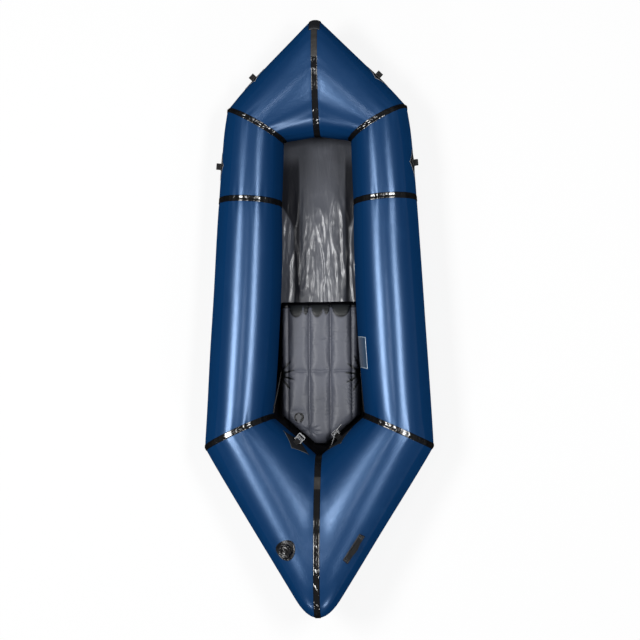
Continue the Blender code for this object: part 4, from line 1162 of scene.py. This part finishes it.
handle = {
    "share": 0.35, "angle": math.radians(48), "length": 0.120, "width": 0.020, "thickness": 0.0018,
    "floor": 0.0036, "rise": 0.011, "span": 0.038, "landing": 0.0073, "margin": 0.003,
    "sewn": (0.0095, 0.002),
}


def addHandle():
    spot = makeSpot("stern", "starboard", handle["share"], handle["angle"])
    margin, floor, span = handle["margin"], handle["floor"], handle["span"]
    outline = oblong(handle["length"] + 2 * margin, handle["width"] + 2 * margin, margin)
    addPatch("handle_patch", spot, outline, "tip_fabric")
    path = [(-handle["length"] / 2, floor), (-span - handle["landing"], floor)]
    for place in np.linspace(-span, span, 17):
        path.append((place, floor + handle["rise"] * (0.5 + 0.5 * math.cos(math.pi * place / span))))
    path += [(span + handle["landing"], floor), (handle["length"] / 2, floor)]
    addBand("grab_handle", spot, path, handle["width"], handle["thickness"], crosswise=True)
    half = handle["width"] / 2 - sewing["inset"]
    inner, outer = handle["sewn"]
    for way in (-1, 1):
        ends = (way * (span + inner), way * (handle["length"] / 2 - outer))
        sewBox(spot, (ends, (-half, half)), floor + handle["thickness"] / 2 + sewing["lift"])


addHandle()


# ---- side straps and their tabs

sideStrap = {
    "width": 0.025, "thickness": 0.0016, "low": 0.010, "high": 0.038, "sag": 0.006, "tabLength": 0.030,
    "tabThickness": 0.0012, "padHalf": 0.16273, "tabRoom": 0.0003, "foreRoom": 0.0018, "fold": -0.2235,
    "endRoom": 0.018, "sewn": 0.030, "stitchRise": 0.0002,
}


def addSideStrap(side):
    spot = makeSpot("aft", side, 1.0, math.pi)
    sign = spot["panel"]["side"]
    width, thickness = sideStrap["width"], sideStrap["thickness"]
    reach = sideStrap["padHalf"] + sideStrap["foreRoom"]
    rooms = np.linspace(sideStrap["endRoom"], sideStrap["endRoom"] + sideStrap["sewn"], 10)
    steps = np.linspace(0, 1, 70)[1:]
    dip = np.outer(-sideStrap["sag"] * np.sin(math.pi * steps), (0, 0, 1))
    rows = []
    for face, share, fat in bandSection():
        layer = 0.5 + face / 2 * fat
        lift = patch["gap"] + thickness * (1 - layer)
        sewn = [draped(spot, math.copysign(room, -spot["run"]), -share * width, lift) for room in rooms]
        aft = sewn[-1]
        fore = np.array([sign * (reach + layer * thickness), sideStrap["fold"],
                         sideStrap["high"] + (share - 0.5) * width])
        rows.append(np.concatenate([sewn, aft + (fore - aft) * steps[:, None] + dip]))
    points = np.stack(rows, 1)
    piece = bandGrid("woven_side_strap_" + side, rows, lengthsAlong(rows[0]), width)
    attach(piece, "hull")
    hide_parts("side_strap_" + side)
    half = sideStrap["tabLength"] / 2
    places = np.linspace(-half, half, 16)
    heights = np.linspace(sideStrap["low"], sideStrap["high"], 12)
    near = sign * (sideStrap["padHalf"] + sideStrap["tabRoom"])
    far = near + sign * sideStrap["tabThickness"]
    ring = [(near, high) for high in heights] + [(far, high) for high in heights[::-1]]
    tab = np.array([[(x, sideStrap["fold"] + place, high) for x, high in ring] for place in places])
    for column in (1, strap["across"] - 2):
        aim = unit(points[:, column] - points[:, -1 - column])
        sewing["lines"].append(points[:, column] + aim * sideStrap["stitchRise"])
        sewing["lines"].append(points[:, -1 - column] - aim * sideStrap["stitchRise"])
    flap = ringMesh("cloth_strap_tab_" + side, tab, "patch_fabric")
    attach(flap, "hull")
    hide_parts("strap_tab_" + side)


for side in ("port", "starboard"):
    addSideStrap(side)
seams = addStitches("webbing_stitches", sewing["lines"], sewing["pitch"], sewing["length"], sewing["width"],
                    material="edge_thread")
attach(seams, "hull")


# ---- bow tip patch

tipPatch = {"half": 0.023, "reach": math.radians(38.57), "low": 0.0019, "high": 0.0031, "blend": 0.010,
            "edge": 0.0004}


def addTipPatch():
    turns = np.linspace(-1, 1, 40) * tipPatch["reach"]
    spread = np.linspace(-tipPatch["half"], tipPatch["half"], 25)
    low, high = [], []
    for place in spread:
        panel = panels["bow", "port" if place < 0 else "starboard"]
        share = np.full(len(turns), abs(place) / hull["bowShoulder"]["outer"][0])
        blendOut = tubeAxes(panels["bow", "port"], share * 0, turns)[2]
        out = tubeAxes(panel, share, turns)[2]
        keep = min(abs(place) / tipPatch["blend"], 1.0)
        aim = unit(out * keep + blendOut * (1 - keep))
        base = skinPoint(panel, share, turns)[0]
        edge = tipPatch["edge"] * (abs(place) / tipPatch["half"]) ** 12
        low.append(base + aim * tipPatch["low"])
        high.append(base + aim * (tipPatch["high"] - edge))
    points = np.concatenate([np.array(low), np.array(high)[::-1]]).transpose(1, 0, 2)
    piece = ringMesh("cloth_bow_tip_patch", points, "tip_fabric")
    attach(piece, "hull")
    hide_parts("bow_tip_patch")


addTipPatch()


# ---- blank identity plate on the starboard tube

plate = {"from": -0.218, "to": -0.091, "low": math.radians(176), "high": math.radians(139), "gap": 0.0002,
         "thickness": 0.0004, "rimTrim": 1.17}


def addPlate():
    panel = panels["aft", "starboard"]
    start, end = panel["near"]["inner"][1], panel["far"]["inner"][1]
    shares = (start - np.linspace(plate["to"], plate["from"], 48)) / (start - end)
    angles = np.linspace(plate["low"], plate["high"], 34)
    low, high = (skinPoint(panel, shares[:, None], angles[None, :], lift)[0]
                 for lift in (plate["gap"], plate["gap"] + plate["thickness"]))
    across = 2 * np.abs(np.linspace(-0.5, 0.5, len(angles)))
    along = 2 * np.abs(np.linspace(-0.5, 0.5, len(shares)))
    rim = np.maximum(plate["rimTrim"] * (along[:, None] - 1) + 1, across[None, :])
    rim = np.concatenate([rim, rim[:, ::-1]], 1)
    points = np.concatenate([high, low[:, ::-1]], 1)
    piece = ringMesh("blank_plate", points, "plate", rim=rim)
    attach(piece, "hull")


addPlate()


# ---- main valve

valve = {
    "share": 0.297, "angle": math.radians(55.5), "travel": 0.005,
    "flange": 0.040, "flangeHole": 0.0218, "flangeLow": 0.0008, "flangeHigh": 0.0028,
    # Radius and height over the flange's top
    "groove": ((0.0385, 0.0), (0.0372, 0.0), (0.0366, -0.0005), (0.0352, -0.0005), (0.0346, 0.0),
               (0.033, 0.0), (0.031, 0.0), (0.029, 0.0), (0.0275, 0.0), (0.0245, 0.0)),
    "capBase": 0.0124, "capHeight": 0.007, "capRadius": 0.0265, "lobe": 0.0028, "lobes": 8, "dish": 0.0026,
    "footEdge": 0.001, "topEdge": 0.0016,
    # In from the rim, down from the top, and the share of the lobes that is left
    "lip": ((0.0038, 0.0, 0.6), (0.0052, 0.0004, 0.0), (0.0066, 0.0018, 0.0), (0.0084, 0.0026, 0.0)),
    # Radius and height over the floor of the dish
    "dishRings": ((0.0130, 0.0), (0.0118, 0.0008), (0.0108, 0.0008), (0.0096, 0.0), (0.0050, 0.0003),
                  (0.0004, 0.0004)),
    "plug": 0.0156, "plugInner": 0.0136, "plugLow": 0.0051,
    "bar": (0.0344, 0.0042, 0.0019),  # length, width, corner
    # Down from the top, and share of the width
    "barRings": ((0.0032, 1.0), (0.0008, 1.0), (0.0003, 0.93), (0.0, 0.80)),
    "knurlPitch": 0.0022,
}


def addValveFlange(spot):
    turns = turnsRound(96)
    hole, reach, low, high = (valve[label] for label in ("flangeHole", "flange", "flangeLow", "flangeHigh"))
    profile = [(hole, low)] + [(radius, low) for radius in np.linspace(0.024, reach - 0.0006, 8)]
    profile += [(reach, low + 0.0006), (reach, high - 0.0007), (reach - 0.0006, high - 0.0001)]
    profile += [(radius, high + lift) for radius, lift in valve["groove"]] + [(hole, high)]
    rings = np.array([draped(spot, radius * np.cos(turns), radius * np.sin(turns), lift)
                      for radius, lift in profile])
    piece = gridMesh("moulded_valve_flange", rings, "valve_plastic", closeRows=True, closeColumns=True)
    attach(piece, "hull")
    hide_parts("main_valve_flange")


def lobedRing(radius, height, depth, sides=192):
    turns = turnsRound(sides)
    hollow = (0.5 - 0.5 * np.cos(valve["lobes"] * turns)) ** 1.6
    out = radius - depth * hollow
    return np.stack([out * np.cos(turns), out * np.sin(turns), np.full(sides, height)], -1)


# Section points round an edge that comes out as far as reach: height is its centre's
def roundEdge(reach, height, radius, depth, fromTurn, toTurn, count):
    turns = [math.radians(turn) for turn in np.linspace(fromTurn, toTurn, count)]
    middle = reach - radius
    return [(middle + radius * math.cos(turn), height + radius * math.sin(turn), depth) for turn in turns]


def addValveCap(frameHere):
    base = valve["capBase"]
    top = base + valve["capHeight"]
    rim, lobe = valve["capRadius"], valve["lobe"]
    inner, outer, low = valve["plugInner"], valve["plug"], valve["plugLow"]
    footEdge, topEdge = valve["footEdge"], valve["topEdge"]
    section = [(inner, base, 0.0), (inner, low, 0.0), (outer, low, 0.0), (outer, base, 0.0),
               (rim - 0.0011, base, lobe)]
    section += roundEdge(rim, base + footEdge, footEdge, lobe, -80, 0, 5)
    section += roundEdge(rim, top - topEdge, topEdge, lobe, 0, 90, 9)
    section += [(rim - room, top - down, share * lobe) for room, down, share in valve["lip"]]
    section += [(radius, top - valve["dish"] + lift, 0.0) for radius, lift in valve["dishRings"]]
    piece = ringMesh("moulded_valve_cap", [lobedRing(*ring) for ring in section], "valve_plastic")
    piece.data.transform(frameHere)
    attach(piece, "main_cap_body")
    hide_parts("main_valve_cap")
    # A cross bar and knurling for wet fingers
    x, y = oblong(*valve["bar"]).T
    rings = [np.stack([x * (1 - (1 - share) * 0.2), y * share, np.full(len(x), top - down)], -1)
             for down, share in valve["barRings"]]
    bar = ringMesh("valve_cap_bar", rings, "valve_plastic")
    grip = lobedRing(rim - 0.0001, base + valve["capHeight"] / 2, lobe, 480)
    pitch = valve["knurlPitch"]
    knurls = addStitches("valve_cap_knurls", [np.vstack([grip, grip[:1]])], pitch, pitch / 2, pitch / 2,
                         rise=0.7 * valve["capHeight"], material="valve_plastic")
    for extra in (bar, knurls):
        extra.data.transform(frameHere)
        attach(extra, "main_cap_body")


# The coil of the valve spring, its doubled points merged, in spring steel
def addSpring():
    mesh = nodes["main_valve_spring"].data.copy()
    bm = bmesh.new()
    bm.from_mesh(mesh)
    bmesh.ops.remove_doubles(bm, verts=bm.verts, dist=0.000001)
    bm.to_mesh(mesh)
    bm.free()
    mesh.materials.clear()
    piece = finishMesh("coil_valve_spring", mesh, "spring_steel")
    points = readPoints(mesh)
    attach(piece, "hull")
    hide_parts("main_valve_spring")
    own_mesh(piece)


valveSpot = makeSpot("stern", "port", valve["share"], valve["angle"])
addValveFlange(valveSpot)
addValveCap(spotFrame(valveSpot, 0.0))
addSpring()
for node in ("main_valve_body", "main_valve_nut", "main_valve_plunger", "seat_valve_base"):
    dress(node, "valve_plastic")
dress("main_valve_seal", "seal_rubber")
dress("seat_valve_cap", "cap_plastic")
dress("ladder_lock_port", "buckle_plastic")
dress("ladder_lock_starboard", "buckle_plastic")
print("patches, webbing and valve made")


# ---- floor

floorSheet = {
    "thickness": 0.0012,
    "overlap": 0.030,
    "rows": 420,
    "columns": 150,
    "foldSize": 0.034,
    "drawn": 6.0,  # how much longer the ridges are than wide
    # Each sort of ridge: height, size beside foldSize, seed
    "ridges": ((0.0046, 1.0, 0.3), (0.0016, 0.45, 4.7), (0.0004, 0.2, 9.1)),
    "least": 0.00005,
    # Side, inner and outer edge of the painted shade band beside the tube
    "shade": ((-1, 0.088, 0.113), (1, 0.106, 0.124)),
    # How dark the painted shade is beside the tubes and at the bow end
    "tubeSideShade": 0.85,
    "bowShade": 0.32,
}


def floorOutline():
    turns = turnsRound(hull["ribPoints"])
    stations = []
    for name in ("bow", "bowShoulder", "side", "sternShoulder", "stern"):
        around = ribPoint(hull[name], turns)
        stations.append(around[around[:, 2].argmin()])
    edge = floorSheet["overlap"]
    bow, *middle, stern = stations
    widths = [edge] + [station[0] + edge for station in middle] + [edge]
    places = [bow[1] + edge / 2] + [station[1] for station in middle] + [stern[1] - edge / 2]
    return np.array(places), np.array(widths)


# Crumpled ridges, drawn out fore and aft, in the free part of the cockpit
def crumple(x, y, size, seed):
    flat = np.stack([x / size, y / (floorSheet["drawn"] * size), np.full(x.shape, seed)], -1).reshape(-1, 3)
    values = np.array([noise.noise(place) for place in flat.tolist()]).reshape(x.shape)
    return (1 - np.minimum(np.abs(values) * 2.4, 1.0)) ** 1.6


def floorWrinkles(x, y):
    free = smoothStep(0.190 - np.abs(x), 0.0, 0.04) * smoothStep(y, -0.02, 0.08)
    free = free * smoothStep(0.60 - y, 0.0, 0.22)
    lean = x + 0.020 * np.sin(3.1 * y + 0.6) + 0.25 * y * x
    high = sum(height * crumple(lean, y, floorSheet["foldSize"] * size, seed)
               for height, size, seed in floorSheet["ridges"])
    return free * high + floorSheet["least"]


# Painted shade on the floor cloth: bands down both sides where the tubes shade it, the bow end in the shade
# of the bow tube, and the cloth in the shade behind the seat
def floorShade(x, y):
    total = np.zeros(x.shape)
    for side, inner, outer in floorSheet["shade"]:
        away = x * side
        reach = outer + 0.08 * smoothStep(y, 0.36, 0.56)
        band = smoothStep(away, inner - 0.008, inner + 0.004) * smoothStep(reach - away, -0.003, 0.006)
        total = np.maximum(total, floorSheet["tubeSideShade"] * band * smoothStep(0.74 - y, 0.0, 0.12))
    total = np.maximum(total, floorSheet["bowShade"] * smoothStep(y, 0.45, 0.68))
    behind = smoothStep(0.0575 - y, 0.0, 0.01) * smoothStep(y, -0.62, -0.58)
    return np.maximum(total, behind)


def addFloor():
    places, widths = floorOutline()
    rows = np.linspace(places[0], places[-1], floorSheet["rows"])
    half = np.interp(-rows, -places, widths)
    spread = np.linspace(-1, 1, floorSheet["columns"])
    x = half[:, None] * spread[None, :]
    y = np.broadcast_to(rows[:, None], x.shape)
    high = floorWrinkles(x, y)
    low = np.stack([x, y, high], -1)
    top = np.stack([x, y, high + floorSheet["thickness"]], -1)
    points = np.concatenate([top, low[:, ::-1]], 1)
    uv = np.concatenate([points[..., :2], points[:, :1, :2]], 1)
    shade = floorShade(x, y)
    piece = ringMesh("cloth_floor_sheet", points, "floor_fabric", uv=uv,
                     shaded=np.concatenate([shade, shade[:, ::-1]], 1))
    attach(piece, "hull")
    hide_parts("floor_sheet")


addFloor()


# ---- seat pad

pad = {
    "front": 0.0670, "fold": -0.2235, "crown": 0.078, "seam": 0.066, "rim": 0.036, "rollBulge": 0.008,
    "rollWidth": 0.032, "channels": 3, "frontSlope": 0.057, "endSlope": 0.045, "endRoom": 0.030,
    "bluntEnd": 0.020, "crease": 0.0022, "base": 0.0015, "half": 0.16273, "foldHalf": 0.075, "backrestShade": 0.16,
    "columns": 84, "rows": 190,
    "stitch": (0.0052, 0.0036, 0.0006),  # pitch, length, width
}
pad["channel"] = (pad["half"] - pad["rollWidth"]) * 2 / pad["channels"]

air = {
    "cloth": {"quality": 5, "mass": 0.15, "bending_stiffness": 0.35, "vertex_group_mass": "held",
              "use_pressure": True, "uniform_pressure_force": 4.0, "shrink_min": -0.012},
    "frames": 20,
    "mostMove": 0.006,
}

seatValve = {"x": -0.087, "y": -0.4135, "flange": 0.0205, "sunk": 0.003, "seat": 0.0016}

gather = {
    "fan": 0.0030,
    "fanRing": (0.022, 0.026),  # radius and breadth
    "pull": 0.004,
    "pullReach": 0.026,
    "pleat": 0.0030,
    "pleatBand": (0.128, 0.022),
    "dimple": (-0.0425, -0.467),
    "dimpleDepth": 0.008,
    "dimpleReach": 0.011,
    "spoke": 0.0016,
    "spokeRing": (0.018, 0.012),
    "seam": 0.0011,
    "scallop": 0.0022,
    "puff": 0.0012,
    "shadeReach": 0.019,
    "shadeRays": 0.040,
}

# Each scallop of the dark front band: place across, half width, depth
scallop = {"least": 0.024, "outline": 0.0034,
           "lobes": ((-0.0965, 0.028, 0.066), (-0.009, 0.024, 0.066), (0.089, 0.037, 0.067),
                     (-0.057, 0.011, 0.055), (0.0286, 0.012, 0.055))}


def padSection(x):
    seam = pad["channels"] / 2 * pad["channel"]
    share = np.clip((np.abs(x) - seam) / pad["rollWidth"], 0.0, 1.0)
    roll = pad["seam"] + (pad["rim"] - pad["seam"]) * share ** 2.5
    roll = roll + pad["rollBulge"] * np.sin(math.pi * share)
    across = (x + seam) / pad["channel"] % 1 * 2 - 1
    lobe = pad["seam"] + (pad["crown"] - pad["seam"]) * np.sqrt(np.maximum(1 - np.abs(across) ** 5, 0.0))
    return np.where(np.abs(x) > seam, roll, lobe)


def padEnd(x):
    tip = hull["stern"]["inner"][1]
    reach, corner = hull["sternShoulder"]["inner"]
    return tip + pad["endRoom"] + (corner - tip) / reach * np.maximum(np.abs(x), pad["bluntEnd"])


def drawnIn(distance, slope):
    return np.sqrt(1 - (1 - np.clip(distance / slope, 0.0, 1.0)) ** 2)


def padHeight(x, y):
    full = padSection(x)
    rim = np.minimum(pad["rim"], full)
    ends = drawnIn(pad["front"] - y, pad["frontSlope"]) * drawnIn(y - padEnd(x), pad["endSlope"])
    crease = pad["crease"] * np.exp(-((y - pad["fold"]) / (2 * pad["crease"])) ** 2)
    return rim + (full - crease - rim) * ends


# Even steps with one on every seam, closer beside the seams
def padColumns():
    seams = [(step - pad["channels"] / 2) * pad["channel"] for step in range(pad["channels"] + 1)]
    edges = [-pad["half"]] + seams + [pad["half"]]
    places = []
    for start, end in zip(edges[:-1], edges[1:]):
        count = max(int(round((end - start) / (2 * pad["half"]) * pad["columns"])), 6)
        turns = np.linspace(0, 1, count + 1)[:-1]
        eased = turns * 0.6 + 0.4 * (0.5 - 0.5 * np.cos(math.pi * turns))
        places += list(start + (end - start) * eased)
    return np.array(places + [pad["half"]]), np.array(seams)


# Rows from the front edge to the rear one, closer at the ends
def padRows():
    even = np.linspace(0, 1, pad["rows"])
    return 0.62 * even + 0.38 * (0.5 - 0.5 * np.cos(math.pi * even))


# A bell of 1 at the centre, which falls away over the reach
def nearTo(value, centre, reach):
    return np.exp(-((value - centre) / reach) ** 2)


# Gathers drawn towards the strap tabs, and pleats down the starboard roll
def padGathers(x, y):
    total = np.zeros(x.shape)
    for side, depth in ((-1, 1.0), (1, 0.8)):
        across, along = x * side - 0.155, y - pad["fold"] + 0.018
        reach = np.hypot(across, along * 0.8)
        fan = np.sin(9 * np.arctan2(along, -across + 0.012) + 1.1 * side)
        total += depth * gather["fan"] * fan * nearTo(reach, *gather["fanRing"])
        total -= depth * gather["pull"] * nearTo(reach, 0.0, gather["pullReach"])
    pleats = np.sin((y + x * 0.7) * 420) * nearTo(x, *gather["pleatBand"])
    total += gather["pleat"] * pleats * smoothStep(-0.235 - y, 0.0, 0.02) * smoothStep(y + 0.40, 0.0, 0.05)
    pucker = np.hypot((x - gather["dimple"][0]) / 1.5, y - gather["dimple"][1])
    total -= gather["dimpleDepth"] * nearTo(pucker, 0.0, gather["dimpleReach"])
    spokes = np.sin(11 * np.arctan2(y - gather["dimple"][1], x - gather["dimple"][0]))
    return total + gather["spoke"] * spokes * nearTo(pucker, *gather["spokeRing"])


# Painted shade in the gathers: dark rays at the roots of the folds drawn towards the strap tabs
def gatherShade(x, y):
    total = np.zeros(x.shape)
    for side in (-1, 1):
        across, along = x * side - 0.160, y - pad["fold"] + 0.012
        rays = np.maximum(np.sin(11 * np.arctan2(along, -across + 0.012) + 1.1 * side), 0) ** 1.4
        reach = gather["shadeReach"] + gather["shadeRays"] * rays
        total = np.maximum(total, smoothStep(reach - np.hypot(across, along * 0.75), -0.002, 0.003))
    return total


# Little folds that stand square to each sewn line
def seamPuckers(x, y, seams):
    total = np.zeros(x.shape)
    for seed, seam in enumerate(seams):
        beat = np.sin(y * 520 + 3 * seed + 2 * np.sin(y * 61 + seed)) + 0.5 * np.sin(y * 910 + 5 * seed)
        patchy = 0.35 + 0.65 * np.clip(np.sin(y * 37 + 2.1 * seed) + 0.3, 0, 1)
        away = np.abs(x - seam)
        total += gather["seam"] * beat * patchy * np.exp(-away / 0.007) * (1 - np.exp(-away / 0.002))
    return total


# How far the dark front band reaches back
def scallopDepth(x):
    depth = np.full(x.shape, scallop["least"])
    for centre, half, deep in scallop["lobes"]:
        lobe = np.sqrt(np.clip(1 - ((x - centre) / half) ** 2, 0, 1))
        depth = np.maximum(depth, scallop["least"] + (deep - scallop["least"]) * lobe)
    return depth


# The air in the pad: a cloth run on a fine closed grid with its sewn lines, base and valve ring held
def fillWithAir(piece, held):
    group = piece.vertex_groups.new(name="held")
    for index in np.nonzero(held)[0].tolist():
        group.add([index], 1.0, "REPLACE")
    cloth = piece.modifiers.new("air", "CLOTH")
    for label, value in air["cloth"].items():
        setattr(cloth.settings, label, value)
    cloth.settings.effector_weights.gravity = 0.0
    cloth.point_cache.frame_end = air["frames"]
    for tick in range(1, air["frames"] + 1):
        scene.frame_set(tick)
    graph = bpy.context.evaluated_depsgraph_get()
    moved = readPoints(piece.evaluated_get(graph).to_mesh())
    piece.evaluated_get(graph).to_mesh_clear()
    piece.modifiers.remove(cloth)
    scene.frame_set(1)
    start = readPoints(piece.data)
    shift = moved - start
    far = np.linalg.norm(shift, axis=1, keepdims=True)
    shift *= air["mostMove"] * np.tanh(far / air["mostMove"]) / np.maximum(far, 1e-9)
    piece.data.vertices.foreach_set("co", (start + shift).ravel())
    piece.data.update()
    piece.vertex_groups.remove(group)


def addSeat():
    columns, seams = padColumns()
    shares = padRows()
    x = np.broadcast_to(columns[None, :], (len(shares), len(columns)))
    y = pad["front"] + (padEnd(x) - pad["front"]) * shares[:, None]
    valveAway = np.hypot(x - seatValve["x"], y - seatValve["y"])
    free = smoothStep(valveAway, seatValve["flange"] + 0.001, seatValve["flange"] + 0.012)
    edgeFree = np.clip(drawnIn(pad["front"] - y, 0.03) * drawnIn(y - padEnd(x), 0.03), 0, 1)
    high = padHeight(x, y) + (padGathers(x, y) + seamPuckers(x, y, seams)) * free * edgeFree
    crown = padHeight(np.array(seatValve["x"]), np.array(seatValve["y"]))
    flat = crown - seatValve["sunk"] + seatValve["seat"]
    clear = smoothStep(valveAway, seatValve["flange"] + 0.0005, seatValve["flange"] + 0.006)
    high = high * clear + flat * (1 - clear)
    back = pad["front"] - y
    depth = scallopDepth(x)
    dark = smoothStep(depth - back, -0.0015, 0.0015)
    high = high - gather["scallop"] * nearTo(back, depth, 0.003) * edgeFree
    high = high + gather["puff"] * dark * edgeFree
    top = np.stack([x, y, high], -1)
    base = np.stack([x, y, np.full(x.shape, pad["base"])], -1)
    points = np.concatenate([top, base[:, ::-1]], 1)
    # Painted shade in the gathers and painted shade on the backrest, darker towards the stern, join the dark
    # front band
    shadeAndFrontBand = np.maximum(np.maximum(dark, gatherShade(x, y)), pad["backrestShade"] * smoothStep(-y, 0.26, 0.36))
    darkMark = np.concatenate([shadeAndFrontBand, np.ones(dark.shape)], 1)
    ringed = np.maximum(nearTo(back, depth, scallop["outline"]), smoothStep(0.020 - back, 0.0, 0.004))
    outline = np.concatenate([ringed, np.zeros(dark.shape)], 1)
    piece = ringMesh("cloth_seat_pad", points, "seat_fabric", dark=darkMark, outline=outline)
    onSeam = np.min(np.abs(x[..., None] - seams), -1) < 0.0008
    onEdge = np.abs(np.abs(x) - pad["half"]) < 1e-6
    onEdge = onEdge | (shares[:, None] < 1e-6) | (shares[:, None] > 1 - 1e-6)
    onFold = (np.abs(y - pad["fold"]) < 0.0022) & (np.abs(x) < pad["foldHalf"])
    onValve = valveAway < seatValve["flange"] + 0.004
    held = np.concatenate([onSeam | onEdge | onFold | onValve, np.ones(x.shape, bool)], 1).ravel()
    fillWithAir(piece, held)
    settled = readPoints(piece.data).reshape(len(shares), -1, 3)[:, :len(columns)]
    lines = [settled[6:-6, np.abs(columns - seam).argmin()] for seam in seams]
    foldRow = np.abs(settled[..., 1] - pad["fold"]).argmin(0)
    across = np.abs(columns) < pad["foldHalf"]
    lines.append(settled[foldRow[across], np.nonzero(across)[0]])
    smoother = piece.modifiers.new("smoother", "SUBSURF")
    smoother.levels = smoother.render_levels = 1
    bendAtFold(piece)
    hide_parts("seat_cushion", "seat_fold", "backrest")
    threads = addStitches("seat_stitches", lines, *pad["stitch"])
    bendAtFold(threads)


def bendAtFold(piece):
    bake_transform(piece)


addSeat()
print("floor and seat made")


# ---- studio floor

def addStage():
    material, tree, shader = newMaterial("paleFloor", studio["floorColour"], 0.9, Specular_IOR_Level=0.0)
    glow = addNode(tree, "ShaderNodeEmission", {"Color": (1, 1, 1, 1), "Strength": 1.0})
    path = addNode(tree, "ShaderNodeLightPath")
    seen = doMath(tree, "ADD", path.outputs["Is Camera Ray"], path.outputs["Is Glossy Ray"])
    seen = doMath(tree, "ADD", seen, path.outputs["Is Transmission Ray"])
    share = doMath(tree, "MULTIPLY", seen, studio["floorGlow"])
    mixed = addNode(tree, "ShaderNodeMixShader", {0: share, 1: shader.outputs[0], 2: glow.outputs[0]})
    tree.links.new(mixed.outputs[0], tree.nodes["Material Output"].inputs["Surface"])
    mesh = bpy.data.meshes.new("studioFloor")
    reach, height = studio["floorReach"], studio["floorHeight"]
    corners = [(x * reach, y * reach, height) for x, y in ((-1, -1), (1, -1), (1, 1), (-1, 1))]
    mesh.from_pydata(corners, [], [(0, 1, 2, 3)])
    mesh.materials.append(material)
    floor = addObject("studioFloor", mesh)


addStage()
